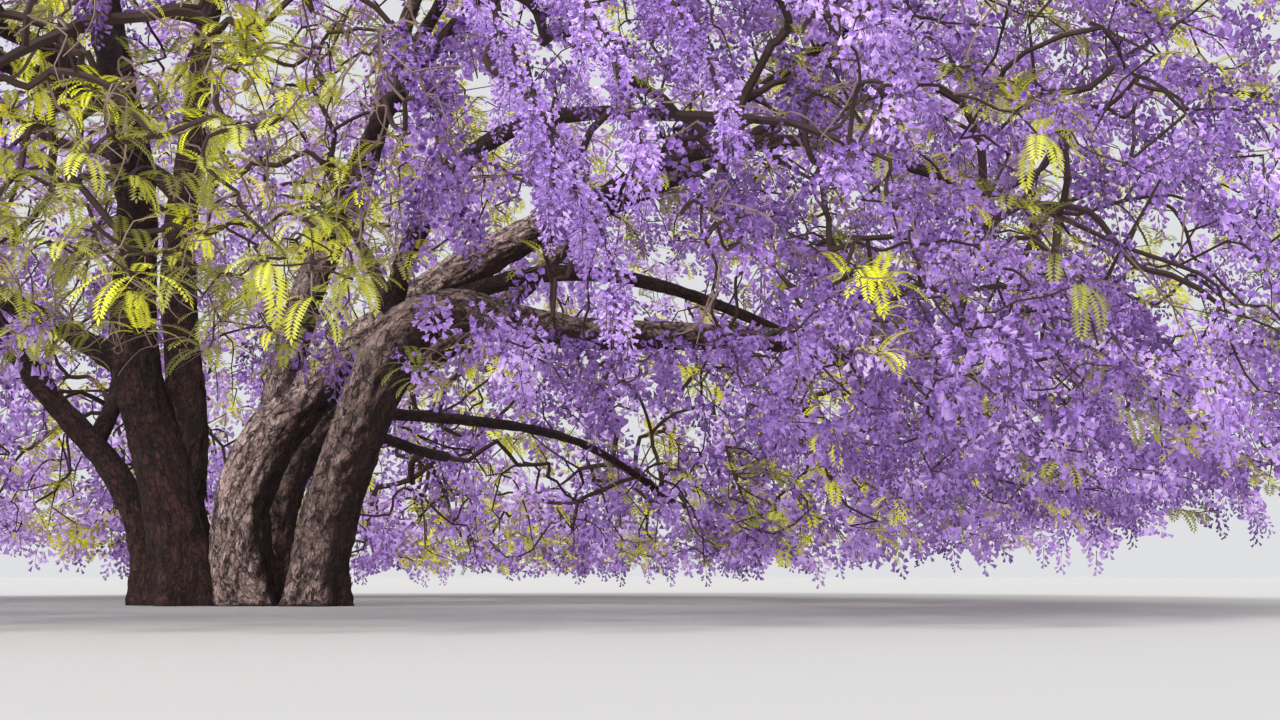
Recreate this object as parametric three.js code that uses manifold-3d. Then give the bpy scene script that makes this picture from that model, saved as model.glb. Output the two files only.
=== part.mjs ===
// A jacaranda in full bloom: an old tree of several stems from one root clump, under a low, wide,
// arching crown.
// Millimetres, +Z up. The origin is on the flat cut at ground level, in the middle of the root clump.
// +X is to the right and +Y away from someone who looks at the tree from the side of its open front.
import * as THREE from "three";
import { mergeVertices } from "three/addons/utils/BufferGeometryUtils.js";
import Module from "manifold-3d";

const wasm = await Module();
wasm.setup();

// The gap between one solid and the next, and how wide a block takes the place of half of all space.
const CLEAR = 0.3;
const HALF_SPACE = 40000;

// The crown is a dome that is widest low down, with an open space under it.
const CROWN_HEIGHT = 8900;
const CROWN_RADIUS = 8200;
const CROWN_CENTRE_X = 600;
const WIDEST_AT = 2700;
const INNER_SHARE = 0.62;
const OUTER_SHARE = 0.95;
const TUCK_UNDER = 0.16;
const LOBES = 5;
const LOBE_DEPTH = 0.035;

// The hem is the height of the lowest twigs. It swings from low at the back to high at the front, and
// the lowest ring of foliage rises and falls with it.
const HEM_MEAN = 850;
const HEM_SWING = 550;
const HEM_LOW_SIDE = 75;
const HEM_LIFT = 0.9;

// Each mass of foliage has its own space, and this many sprays in it, each the best of a number of
// tries.
const MASS_REACH = 2600;
const SPRAYS_A_MASS = 12;
const TRIES_A_SPRAY = 40;
const BORDER_MARGIN = 40;
const PLACE_MARGIN = 300;

// A spray is an octahedron, thick with blossom or flat with leaves, that hangs from its twig.
const SPRAY_LENGTH = 1250;
const SPRAY_WIDTH = 720;
const SPRAY_DEPTH = 520;
const LEAFY_DEPTH = 200;
const LEAFY_SHARE = 0.25;
const SPRAY_SIZES = [1.1, 0.9, 0.7, 0.5];
const SPRAY_DROOP = 1.15;
const SUNK = 0.3;

// A twig is a three-sided bar. DETOUR is how much the way along the twigs counts when one picks where
// to join on.
const TWIG_TIP = 9;
const TWIG_TAPER = 0.7;
const TWIG_SIDES = 3;
const KNUCKLE = 2.2;
const DETOUR = 0.45;
const LIMB_MARGIN = 60;
const CHECKS_A_TWIG = 6;

// A limb is a tube along a line of equal steps, with its rings closer together towards its foot, where
// it swells: in a collar where it leaves another limb, and in a lobed root flare at the ground.
const COURSE_STEPS = 48;
const STEM_SIDES = 10;
const STEM_RINGS = 9;
const BOUGH_SIDES = 6;
const BOUGH_RINGS = 6;
const RING_CROWDING = 1.4;
const COLLAR = 0.22;
const FLARE = 0.4;
const FLARE_HEIGHT = 360;
const ROOT_LOBES = 5;
const LOBED = 0.3;

// A bough's line is a curve with handles of this share of its span. It ends short of its mass's centre,
// with this radius, and comes in falling to the low masses and rising to the others.
const HANDLE = 0.36;
const GATE_SHARE = 0.55;
const BOUGH_TIP = 32;
const ENTRY_RISE = { low: -0.35, middle: 0.1, top: 0.1, tip: 0.1 };

// The stems, each with its foot on the ground or the limb that it leaves, its length, its radii evenly
// along it from foot to tip, and the headings that it turns through evenly along it: the bearing from
// +X towards +Y and the rise over the horizon, past 90 where it leans back first. level is the height
// where it leaves the root clump.
const STEMS = {
  great_stem: {
    foot: [-420, 0], level: 820, length: 5380, radii: [242, 205, 165, 125, 75],
    course: [[170, 82], [153, 67], [300, 86], [257, 63], [266, 68]],
  },
  sunlit_stem: {
    foot: [100, -100], level: 760, length: 6830, radii: [212, 205, 165, 120, 70],
    course: [[29, 112], [32, 47], [16, 37], [29, 23], [0, 29]],
  },
  elbow_stem: {
    foot: [650, -250], level: 520, length: 7120, radii: [198, 202, 222, 150, 115, 95, 76, 55],
    course: [[-41, 85], [-18, 69], [1, 72], [12, -15], [9, -1], [16, 1], [24, -4], [19, 3]],
    splitAt: 0.36, beyond: "long_arm",
  },
  left_stem: {
    foot: [-780, 100], level: 560, length: 6090, radii: [120, 95, 75, 60, 45],
    course: [[130, 84], [177, 45], [221, 58], [219, 41], [180, 20]],
  },
  back_stem: {
    foot: [220, 300], level: 700, length: 6840, radii: [160, 125, 90, 52],
    course: [[51, 103], [56, 22], [58, 32], [60, 40]],
  },
  inner_stem: {
    from: "great_stem", at: 0.15, length: 5650, radii: [165, 140, 120, 92, 60],
    course: [[67, 66], [145, 80], [86, 70], [93, 73], [80, 65]],
  },
  upright_limb: {
    from: "sunlit_stem", at: 0.22, length: 5340, radii: [140, 115, 85, 52],
    course: [[74, 81], [57, 56], [74, 67], [50, 60]],
  },
};

// The rings of foliage, from the skirt up: how many masses, the bearing of the first, how far out and
// how high.
const RINGS = {
  low: { count: 12, first: 0, out: 7000, height: 1900 },
  middle: { count: 9, first: 20, out: 5750, height: 5250 },
  top: { count: 5, first: 36, out: 3150, height: 7150 },
  tip: { count: 1, first: 0, out: 0, height: 8050 },
};

// The stems whose tips run into a mass.
const MASSES_ON_STEMS = {
  low_01: "elbow_stem",
  middle_01: "sunlit_stem",
  middle_02: "back_stem",
  middle_05: "left_stem",
  top_01: "upright_limb",
  top_02: "inner_stem",
  top_04: "great_stem",
};

// The boughs that carry the other masses: the limb that each leaves and how far up it, its first
// heading, and its radius there. Each then arches over to its mass, some of them to a point lower than
// its centre by a drop.
const BOUGHS = {
  low_02: { from: "elbow_stem", at: 0.3, leaves: [22, 51], radius: 82 },
  low_03: { from: "elbow_stem", at: 0.235, leaves: [43, 0], radius: 46, drop: 900 },
  low_04: { from: "elbow_stem", at: 0.2, leaves: [53, -12], radius: 44, drop: 700 },
  low_05: { from: "left_stem", at: 0.26, leaves: [43, 62], radius: 72 },
  low_06: { from: "left_stem", at: 0.55, leaves: [140, 20], radius: 60 },
  low_07: { from: "left_stem", at: 0.7, leaves: [200, -5], radius: 56 },
  low_08: { from: "great_stem", at: 0.38, leaves: [199, 33], radius: 90 },
  low_10: { from: "great_stem", at: 0.6, leaves: [273, 46], radius: 125 },
  low_09: { from: "low_10", at: 0.24, leaves: [225, 12], radius: 75 },
  low_11: { from: "sunlit_stem", at: 0.42, leaves: [300, 55], radius: 88 },
  low_12: { from: "sunlit_stem", at: 0.7, leaves: [340, 30], radius: 82 },
  middle_03: { from: "back_stem", at: 0.42, leaves: [110, 60], radius: 80 },
  middle_04: { from: "inner_stem", at: 0.52, leaves: [150, 40], radius: 80 },
  middle_06: { from: "great_stem", at: 0.8, leaves: [210, 40], radius: 80 },
  middle_07: { from: "low_10", at: 0.5, leaves: [280, 50], radius: 80 },
  middle_08: { from: "upright_limb", at: 0.34, leaves: [300, 50], radius: 80 },
  middle_09: { from: "sunlit_stem", at: 0.82, leaves: [340, 44], radius: 62 },
  top_03: { from: "great_stem", at: 0.9, leaves: [190, 55], radius: 68 },
  top_05: { from: "upright_limb", at: 0.6, leaves: [330, 60], radius: 68 },
  tip: { from: "inner_stem", at: 0.8, leaves: [330, 72], radius: 62 },
};

const BARK = new THREE.MeshStandardMaterial({ color: 0x5b4a42, roughness: 0.92, metalness: 0 });
const BLOOM = new THREE.MeshStandardMaterial({ color: 0x9474d6, roughness: 0.75, metalness: 0 });

// Draws the same numbers from 0 to 1 each time for one seed.
function seeded(seed) {
  let state = (seed * 2654435761) >>> 0;
  return () => {
    state = (Math.imul(state, 1664525) + 1013904223) >>> 0;
    return state / 4294967296;
  };
}

const vector = (x, y, z) => new THREE.Vector3(x, y, z);

// The value at a share of the way along a list of evenly spaced values.
function alongList(values, share) {
  const leg = Math.min(Math.floor(share * (values.length - 1)), values.length - 2);
  return THREE.MathUtils.lerp(values[leg], values[leg + 1], share * (values.length - 1) - leg);
}

function heading(bearing, rise) {
  const turn = THREE.MathUtils.degToRad(bearing);
  const lift = THREE.MathUtils.degToRad(rise);
  return vector(Math.cos(lift) * Math.cos(turn), Math.cos(lift) * Math.sin(turn), Math.sin(lift));
}

// The line of a stem: equal steps, each along a heading that turns evenly from one of its headings to
// the next.
function stemLine(foot, course, length) {
  const bearings = course.map(([bearing]) => bearing);
  const rises = course.map(([, rise]) => rise);
  const line = [foot];
  for (let i = 0; i < COURSE_STEPS; i++) {
    const share = (i + 0.5) / COURSE_STEPS;
    const towards = heading(alongList(bearings, share), alongList(rises, share));
    line.push(line[i].clone().addScaledVector(towards, length / COURSE_STEPS));
  }
  return line;
}

// The line of a bough: it leaves with one direction and comes in with another.
function boughLine(start, leaves, end, enters) {
  const pull = start.distanceTo(end) * HANDLE;
  const towards = start.clone().addScaledVector(leaves, pull);
  const from = end.clone().addScaledVector(enters, -pull);
  return new THREE.CubicBezierCurve3(start, towards, from, end).getPoints(COURSE_STEPS);
}

const stepAt = (share) => Math.round(share * COURSE_STEPS);
const pointOn = (limb, share) => limb.line[stepAt(share)].clone();

function directionOn(limb, share) {
  const step = Math.min(stepAt(share), COURSE_STEPS - 1);
  return limb.line[step + 1].clone().sub(limb.line[step]).normalize();
}

// How much fatter than its taper a limb is: root flare on a rooted stem, a collar where a bough leaves
// its limb.
function swellOn(limb, share) {
  const run = share * limb.length;
  if (limb.parent) return COLLAR * Math.exp(-run / (2 * limb.radii[0]));
  return FLARE * Math.exp(-run / FLARE_HEIGHT);
}

const radiusOn = (limb, share) => alongList(limb.radii, share) * (1 + swellOn(limb, share));

// A closed mesh as a solid to join and cut.
function solidOf(geometry) {
  const bare = geometry.clone();
  bare.deleteAttribute("normal");
  bare.deleteAttribute("uv");
  const merged = mergeVertices(bare, 1e-3);
  return new wasm.Manifold(new wasm.Mesh({
    numProp: 3,
    vertProperties: merged.attributes.position.array,
    triVerts: new Uint32Array(merged.index.array),
  }));
}

// The largest body of a solid: loose scraps are dropped.
const wholeOf = (solid) => solid.decompose().sort((a, b) => b.volume() - a.volume())[0];

// A cylinder bent along the limb's line and brought to its radius, grown by a margin all round.
function limbSolid(limb, margin = 0) {
  const bent = new THREE.CylinderGeometry(1, 1, 1, limb.sides, limb.rings);
  const frames = new THREE.CatmullRomCurve3(limb.line).computeFrenetFrames(COURSE_STEPS);
  const spots = bent.attributes.position;
  for (let i = 0; i < spots.count; i++) {
    const share = (spots.getY(i) + 0.5) ** RING_CROWDING;
    const step = stepAt(share);
    const round = Math.atan2(spots.getZ(i), spots.getX(i));
    const lobes = limb.parent ? 0 : LOBED * swellOn(limb, share) * Math.cos(ROOT_LOBES * round);
    const radius = radiusOn(limb, step / COURSE_STEPS) * (1 + lobes) + margin;
    const past = step === 0 ? -margin : Number(step === COURSE_STEPS) * margin;
    const spot = limb.line[step].clone()
      .addScaledVector(frames.normals[step], spots.getX(i) * radius)
      .addScaledVector(frames.binormals[step], -spots.getZ(i) * radius)
      .addScaledVector(frames.tangents[step], past);
    spots.setXYZ(i, spot.x, spot.y, spot.z);
  }
  return solidOf(bent);
}

// Half of all space: everything behind a point, seen along a direction.
function spaceBehind(point, direction) {
  const block = new THREE.BoxGeometry(HALF_SPACE, HALF_SPACE, HALF_SPACE);
  block.translate(0, 0, -HALF_SPACE / 2);
  block.applyQuaternion(new THREE.Quaternion().setFromUnitVectors(vector(0, 0, 1), direction));
  block.translate(point.x, point.y, point.z);
  return solidOf(block);
}

const below = (height) => spaceBehind(vector(0, 0, height), vector(0, 0, 1));

const limbs = new Map();

function addLimb(name, row, line, shape) {
  const length = line.slice(1).reduce((sum, spot, i) => sum + spot.distanceTo(line[i]), 0);
  const limb = { ...row, ...shape, line, length };
  limb.space = new THREE.Box3().setFromPoints(line).expandByScalar(radiusOn(limb, 0) + LIMB_MARGIN);
  limbs.set(name, limb);
}

function addStem(name, row) {
  const parent = limbs.get(row.from);
  const foot = parent ? pointOn(parent, row.at) : vector(row.foot[0], row.foot[1], 0);
  const line = stemLine(foot, row.course, row.length);
  addLimb(name, row, line, { parent, sides: STEM_SIDES, rings: STEM_RINGS });
}

function addBough(mass, row) {
  const parent = limbs.get(row.from);
  const start = pointOn(parent, row.at);
  const home = centres.get(mass).clone().sub(start).normalize();
  const gate = centres.get(mass).clone().addScaledVector(home, -MASS_REACH * GATE_SHARE);
  gate.z -= row.drop ?? 0;
  const enters = home.clone().add(vector(0, 0, ENTRY_RISE[mass.split("_")[0]])).normalize();
  const line = boughLine(start, heading(...row.leaves), gate, enters);
  const radii = [row.radius, BOUGH_TIP];
  addLimb(mass, row, line, { parent, radii, sides: BOUGH_SIDES, rings: BOUGH_RINGS });
}

function hemAt(side) {
  return HEM_MEAN - HEM_SWING * Math.cos(side - THREE.MathUtils.degToRad(HEM_LOW_SIDE));
}

// The centres of the masses, ring by ring. The lowest ring rises and falls with the hem.
function massCentres() {
  const places = new Map();
  for (const [ring, { count, first, out, height }] of Object.entries(RINGS)) {
    for (let i = 0; i < count; i++) {
      const side = THREE.MathUtils.degToRad(first + (360 / count) * i);
      const name = count > 1 ? `${ring}_${String(i + 1).padStart(2, "0")}` : ring;
      const lift = ring === "low" ? hemAt(side) * HEM_LIFT : 0;
      const x = CROWN_CENTRE_X + out * Math.cos(side);
      places.set(name, vector(x, out * Math.sin(side), height + lift));
    }
  }
  return places;
}

// How far out a point is in the crown: 0 at its heart and 1 on its outline.
function crownShare(spot) {
  const side = Math.atan2(spot.y, spot.x - CROWN_CENTRE_X);
  const radius = CROWN_RADIUS * (1 + LOBE_DEPTH * Math.cos(LOBES * side));
  const out = Math.hypot(spot.x - CROWN_CENTRE_X, spot.y) / radius;
  if (spot.z < WIDEST_AT) return out + TUCK_UNDER * ((WIDEST_AT - spot.z) / WIDEST_AT) ** 2;
  return Math.hypot(out, (spot.z - WIDEST_AT) / (CROWN_HEIGHT - WIDEST_AT));
}

// A mass keeps to its own space: the points nearer to its centre than to any other, less a margin.
function inOwnSpace(mass, spot, margin = BORDER_MARGIN) {
  const own = centres.get(mass);
  for (const [other, centre] of centres) {
    if (other === mass) continue;
    const nearer = spot.distanceToSquared(centre) - spot.distanceToSquared(own);
    if (nearer / (2 * own.distanceTo(centre)) < margin) return false;
  }
  return true;
}

function clearOfLimbs(spot) {
  for (const limb of limbs.values()) {
    if (!limb.space.containsPoint(spot)) continue;
    for (let i = 0; i <= COURSE_STEPS; i++) {
      if (spot.distanceTo(limb.line[i]) < radiusOn(limb, i / COURSE_STEPS) + LIMB_MARGIN) return false;
    }
  }
  return true;
}

function clearBetween(from, to) {
  for (let i = 1; i <= CHECKS_A_TWIG; i++) {
    if (!clearOfLimbs(from.clone().lerp(to, i / CHECKS_A_TWIG))) return false;
  }
  return true;
}

// The places of a mass's sprays: each the farthest from the others of a number of tries in the mass's
// own space.
function sprayPlaces(mass, random) {
  const centre = centres.get(mass);
  const places = [];
  for (let i = 0; i < SPRAYS_A_MASS; i++) {
    let best = null;
    let bestRoom = 0;
    for (let k = 0; k < TRIES_A_SPRAY; k++) {
      const aside = vector(random() - 0.5, random() - 0.5, random() - 0.5);
      const spot = centre.clone().addScaledVector(aside, 2 * MASS_REACH);
      const share = crownShare(spot);
      const lowest = hemAt(Math.atan2(spot.y, spot.x - CROWN_CENTRE_X)) + SPRAY_WIDTH;
      if (share < INNER_SHARE || share > OUTER_SHARE || spot.z < lowest) continue;
      if (!inOwnSpace(mass, spot, PLACE_MARGIN)) continue;
      const room = places.reduce((least, place) => Math.min(least, place.distanceTo(spot)), MASS_REACH);
      if (room > bestRoom) [best, bestRoom] = [spot, room];
    }
    if (best && clearOfLimbs(best)) places.push(best);
  }
  return places;
}

// The twigs of a mass: each place, from the nearest on, is joined to the knot that gives it the
// shortest way home.
function growTwigs(first, places) {
  const knots = [{ at: first, run: 0, back: null, load: 0 }];
  const nearFirst = [...places].sort((a, b) => a.distanceTo(first) - b.distanceTo(first));
  for (const place of nearFirst) {
    const cost = (knot) => knot.at.distanceTo(place) + DETOUR * knot.run;
    const open = knots.filter((knot) => clearBetween(knot.at, place));
    if (open.length === 0) continue;
    const back = open.reduce((best, knot) => (cost(knot) < cost(best) ? knot : best));
    knots.push({ at: place, run: back.run + back.at.distanceTo(place), back, load: 0 });
  }
  for (const knot of knots) {
    for (let k = knot; k; k = k.back) k.load += 1;
  }
  return knots;
}

const twigRadius = (load) => TWIG_TIP * Math.sqrt(load);

function twigSolid(from, to, thick, thin) {
  const along = to.clone().sub(from);
  const bar = new THREE.CylinderGeometry(thin, thick, along.length(), TWIG_SIDES, 1);
  bar.translate(0, along.length() / 2, 0);
  bar.applyQuaternion(new THREE.Quaternion().setFromUnitVectors(vector(0, 1, 0), along.normalize()));
  bar.translate(from.x, from.y, from.z);
  return solidOf(bar);
}

// The shape of a spray, with its root sunk over the end of its twig. It hangs out from the crown's
// heart, and down.
function sprayShape(place, turn, depth, size) {
  const outward = place.clone().sub(vector(CROWN_CENTRE_X, 0, WIDEST_AT)).normalize();
  const direction = outward.add(vector(0, 0, -SPRAY_DROOP)).normalize();
  const shape = new THREE.OctahedronGeometry(0.5);
  shape.scale(SPRAY_WIDTH * size, SPRAY_LENGTH * size, depth * size);
  shape.translate(0, SPRAY_LENGTH * size * (0.5 - SUNK), 0);
  shape.rotateY(turn);
  shape.applyQuaternion(new THREE.Quaternion().setFromUnitVectors(vector(0, 1, 0), direction));
  shape.translate(place.x, place.y, place.z);
  return shape;
}

// A solid with the box that it lies in.
function boxed(solid) {
  const { min, max } = solid.boundingBox();
  return { solid, box: new THREE.Box3(vector(...min), vector(...max)) };
}

// The spray that this shape makes, if it stays in its mass's space and clear of what is there already.
function fittedSpray(mass, shape, others) {
  const spots = shape.attributes.position;
  for (let i = 0; i < spots.count; i++) {
    if (!inOwnSpace(mass, vector().fromBufferAttribute(spots, i))) return null;
  }
  const spray = boxed(solidOf(shape));
  const near = others.filter((other) => other.box.intersectsBox(spray.box));
  return near.some((other) => other.solid.intersect(spray.solid).volume() > 0) ? null : spray;
}

// A mass: the stem that meets its limb's tip, the twigs that branch from it, and the sprays fused on
// them.
function massSolid(mass, seed) {
  const random = seeded(seed);
  const feeder = limbs.get(MASSES_ON_STEMS[mass] ?? mass);
  const onward = directionOn(feeder, 1);
  const gate = pointOn(feeder, 1).addScaledVector(onward, CLEAR);
  const first = gate.clone().addScaledVector(onward, SPRAY_WIDTH / 2);
  const knots = growTwigs(first, sprayPlaces(mass, random));
  const whole = twigRadius(knots[0].load);
  const knuckle = new THREE.OctahedronGeometry(KNUCKLE * whole);
  knuckle.translate(first.x, first.y, first.z);
  let solid = twigSolid(gate, first, alongList(feeder.radii, 1), whole).add(solidOf(knuckle));
  const sprays = [];
  for (const knot of knots.slice(1)) {
    const thick = twigRadius(knot.load);
    solid = solid.add(twigSolid(knot.back.at, knot.at, thick, Math.max(TWIG_TIP, thick * TWIG_TAPER)));
    const turn = random() * Math.PI;
    const depth = random() < LEAFY_SHARE ? LEAFY_DEPTH : SPRAY_DEPTH;
    const sizes = SPRAY_SIZES.slice(Math.floor(random() * 2));
    const spray = sizes
      .map((size) => fittedSpray(mass, sprayShape(knot.at, turn, depth, size), [...made, ...sprays]))
      .find((fitting) => fitting);
    if (spray) sprays.push(spray);
  }
  return wholeOf(sprays.reduce((sum, spray) => sum.add(spray.solid), solid));
}

function meshOf(name, solid, material) {
  const { numProp, vertProperties, triVerts } = solid.getMesh();
  const geometry = new THREE.BufferGeometry();
  const spots = new THREE.InterleavedBuffer(vertProperties, numProp);
  geometry.setAttribute("position", new THREE.InterleavedBufferAttribute(spots, 3, 0));
  geometry.setIndex(new THREE.BufferAttribute(triVerts, 1));
  geometry.computeVertexNormals();
  const mesh = new THREE.Mesh(geometry, material);
  mesh.name = name;
  return mesh;
}

const centres = massCentres();
for (const [name, row] of Object.entries(STEMS)) addStem(name, row);
for (const [mass, row] of Object.entries(BOUGHS)) addBough(mass, row);

const tree = new THREE.Group();
tree.name = "jacaranda";

// The root clump joins the feet of the rooted stems, up to the level where each one leaves it.
const rooted = [...limbs.values()].filter((limb) => !limb.parent);
const clump = rooted
  .map((limb) => limbSolid(limb).intersect(below(limb.level)).subtract(below(0)))
  .reduce((sum, stub) => sum.add(stub));
const fatClump = rooted
  .map((limb) => limbSolid(limb, 2 * CLEAR).intersect(below(limb.level + CLEAR)))
  .reduce((sum, stub) => sum.add(stub));
tree.add(meshOf("root_clump", wholeOf(clump), BARK));

// Each limb is cut clear of the clump and of the limbs made before it, and split where it bends round a
// space.
const made = [];
for (const [name, limb] of limbs) {
  const free = limbSolid(limb).subtract(fatClump);
  const solid = made.reduce((rest, other) => rest.subtract(other.solid), free);
  const nodeName = name in BOUGHS ? `bough_${name}` : name;
  if (limb.splitAt) {
    const onward = directionOn(limb, limb.splitAt);
    const bend = pointOn(limb, limb.splitAt);
    const before = solid.intersect(spaceBehind(bend, onward));
    const after = solid.subtract(spaceBehind(bend.addScaledVector(onward, CLEAR), onward));
    tree.add(meshOf(nodeName, wholeOf(before), BARK), meshOf(limb.beyond, wholeOf(after), BARK));
  } else {
    tree.add(meshOf(nodeName, wholeOf(solid), BARK));
  }
  made.push(boxed(limbSolid(limb, 2 * CLEAR)));
}

[...centres.keys()].forEach((mass, i) => {
  tree.add(meshOf(`foliage_${mass}`, massSolid(mass, i + 1), BLOOM));
});

export default tree;
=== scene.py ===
"""A jacaranda in full bloom: bark, twigs, hanging blossom and feathery leaves grown round the fixed frame.

Metres, +Z up. The crown's rule is the one that its solids follow, carried here to finer twigs.
"""
import functools
import itertools
import math
from dataclasses import dataclass, field

import bpy
import numpy as np
from bpy.props import FloatProperty, FloatVectorProperty, IntProperty, PointerProperty
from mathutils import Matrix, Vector, noise


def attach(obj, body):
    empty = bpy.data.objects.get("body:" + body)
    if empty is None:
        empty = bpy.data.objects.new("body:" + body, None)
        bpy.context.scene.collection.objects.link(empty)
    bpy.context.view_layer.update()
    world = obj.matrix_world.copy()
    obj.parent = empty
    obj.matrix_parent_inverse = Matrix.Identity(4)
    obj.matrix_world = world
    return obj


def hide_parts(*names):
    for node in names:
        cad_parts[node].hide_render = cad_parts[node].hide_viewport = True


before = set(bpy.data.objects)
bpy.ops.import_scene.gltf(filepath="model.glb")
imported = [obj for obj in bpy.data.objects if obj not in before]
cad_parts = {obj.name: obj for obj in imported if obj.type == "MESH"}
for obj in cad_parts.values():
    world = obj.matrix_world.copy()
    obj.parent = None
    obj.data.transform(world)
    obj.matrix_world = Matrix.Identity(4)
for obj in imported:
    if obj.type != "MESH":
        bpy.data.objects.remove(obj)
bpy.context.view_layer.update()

bl_info = {
    "name": "Jacaranda in Bloom",
    "version": (1, 0, 0),
    "blender": (4, 5, 0),
    "location": "3D View > Sidebar > Jacaranda",
    "description": "Grows bark, twigs, blossom and leaves on the jacaranda's frame",
    "category": "Add Mesh",
}

BODY = "root"

# The crown: a dome that is widest low down, with an open space under it and a hem that swings from low
# at the back to high at the front.
CROWN_HEIGHT = 8.9
CROWN_RADIUS = 8.2
CROWN_CENTRE_X = 0.6
WIDEST_AT = 2.7
INNER_SHARE = 0.62
OUTER_SHARE = 0.95
TUCK_UNDER = 0.16
LOBES = 5
LOBE_DEPTH = 0.035
HEM_MEAN = 0.85
HEM_SWING = 0.55
HEM_LOW_SIDE = math.radians(75)
HEM_LIFT = 0.9

# The masses of foliage, each in its own space, and the main twigs that carry them.
MASS_REACH = 2.6
SPRAYS_A_MASS = 12
TRIES_A_SPRAY = 40
PLACE_MARGIN = 0.3
SPRAY_WIDTH = 0.72
LIMB_MARGIN = 0.06
CHECKS_A_TWIG = 6
CLEAR = 0.0003

# The finer twigs, within the same reach. They hang in cascades: an arching twig with a spray at each of
# its knots. It droops more the lower it hangs. Droops and strays are in degrees.
FINE_INNER_SHARES = {"low": 0.5, "middle": 0.55, "top": 0.68, "tip": 0.7}
FINE_OUTER_SHARE = 0.99
FINE_MARGIN = 0.02
FINE_HEM = 0.05
FINE_POOL = 10000
FINE_TRIES = 10
HEM_PULL = 2
HEM_PULL_HEIGHT = 0.5
FEWEST_KNOTS = 2
MOST_KNOTS = 7
CASCADE_STEP = 0.2
CASCADE_SPREAD = 0.5
RISE_STRAY = 9
BEARING_STRAY = 16
DROOP_FROM = 0.2
DROOPS = {3.0: 80, 8.0: 42}

# How full each ring or mass is. The low masses at the back have more, because the view under the crown
# ends there.
FILL = {
    "low": 0.95, "middle": 0.9, "top": 0.8, "tip": 0.7,
    "low_01": 1.25, "low_10": 0.9, "low_11": 0.68, "low_12": 1.45,
    "middle_01": 1.3, "middle_02": 1.2, "middle_03": 1.6, "middle_04": 1.2, "middle_09": 1.7,
}
BACK_FILL = 1.35

# The knots of bare twigs in some masses, how much more they stray, and their spurs.
BARE = {
    "low_01": 100, "low_03": 60, "low_04": 60, "low_05": 60, "low_09": 60, "low_10": 740, "low_11": 120,
    "low_12": 150, "middle_03": 130, "middle_04": 100, "middle_07": 80, "middle_08": 80, "middle_09": 130,
}
BARE_WANDER = 3
SPUR = 0.05

# A mass's own limb, which goes on from its bough's tip and bends out and down, and the side twigs of the
# bough itself.
LEADER_KNOTS = 7
LEADER_TURN = 0.3
LEADER_DROOP = 25
LEADER_STRAY = 0.12
SIDE_TWIGS_FROM = 0.45
SIDE_TWIGS_TO = 0.88
SIDE_TWIG_SPACING = 0.3
SIDE_TWIG_DETOUR = 0.7

# The garlands that hang in front of the elbow: where each starts, its bearing and how many knots it has.
GARLANDS = {
    "low_11": [
        ((2.38, -6.6, 3.1), 335, 17),
        ((2.58, -6.3, 2.7), 350, 13),
        ((2.82, -6.7, 3.1), 330, 16),
        ((2.8, -6.5, 2.25), 345, 12),
        ((3.3, -6.5, 3.1), 320, 12),
    ],
}
GARLAND_STEP = 0.08
GARLAND_RISES = (35, 84)
GARLAND_RISE_STRAY = 8
GARLAND_BEARING_STRAY = 25

# The limbs that show in the photograph besides the boughs and what goes on from their tips.
ARM_STEPS = 2
ARMS = {
    "low_04": [[(1.62, 2.44, 1.35), (2.07, 3, 1.34), (2.34, 3.41, 1.25), (2.76, 4.05, 0.97)]],
    "low_12": [[(5.17, -2.84, 3.83), (5.5, -2.83, 3.68), (5.85, -2.81, 3.55), (6.13, -2.8, 3.57),
                (6.4, -2.8, 3.6), (6.61, -2.8, 3.79), (6.82, -2.8, 3.92)],
               [(6.15, -2.62, 2.81), (6.54, -2.69, 2.59), (6.96, -2.66, 2.31), (7.3, -2.64, 2.1)]],
}

# Where the photograph was taken from, and a little more than half of what it shows, aside and up, for
# each metre of depth.
CAMERA = (3.29, -14.8, 0.25)
CAMERA_RISE = math.atan(215 / 1778)
VIEW_ASIDE = 0.4
VIEW_UP = 0.26

# What stays in sight from there: the bent stem, the arms and the garlands. So far along each line of
# sight no spray's middle, which is under its knot, comes nearer than the room given.
SEEN_LIMB = "elbow_stem"
SEEN_FROM = 0.28
SEEN_TO = 0.8
SIGHT = (0.2, 9.5)
SEEN_ROOM = 0.2
GARLAND_SIGHT = (0, 2.6)
GARLAND_ROOM = 0.42
SPRAY_DROP = 0.2

# What a knot bears, and how much a twig thickens for each.
NOTHING, BARE_TWIG, SPRAY, TASSEL, LEADER, ARM = range(6)
LOADS = np.array([0, 0.15, 1, 1.5, 3, 16])

# Twigs are crooked: their knots stand off the straight way, and it arches over. Near the photograph's
# camera they have more knots.
KNOT_SPACING = 0.3
NEAR_KNOT_SPACING = 0.1
NEAREST = ["low_10", "low_11"]
CROOK = 0.42
ARCH = 0.1
FINE_DETOUR = 0.2
JOIN_TRIES = 5
JOIN_SWELL = 1.15
TIP_SHARE = 0.7
SMOOTH_STEPS = 2
STOUT_SIDES = 5
THIN_SIDES = 3

# The limbs: lines of equal steps, with a collar where one leaves another and a flare at the ground.
COURSE_STEPS = 48
COLLAR = 0.22
FLARE = 0.4
FLARE_HEIGHT = 0.36
ROOT_LOBES = 5
LOBED = 0.3
HANDLE = 0.36
GATE_SHARE = 0.55
BOUGH_TIP = 0.032
ENTRY_RISE = {"low": -0.35, "middle": 0.1, "top": 0.1, "tip": 0.1}

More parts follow.
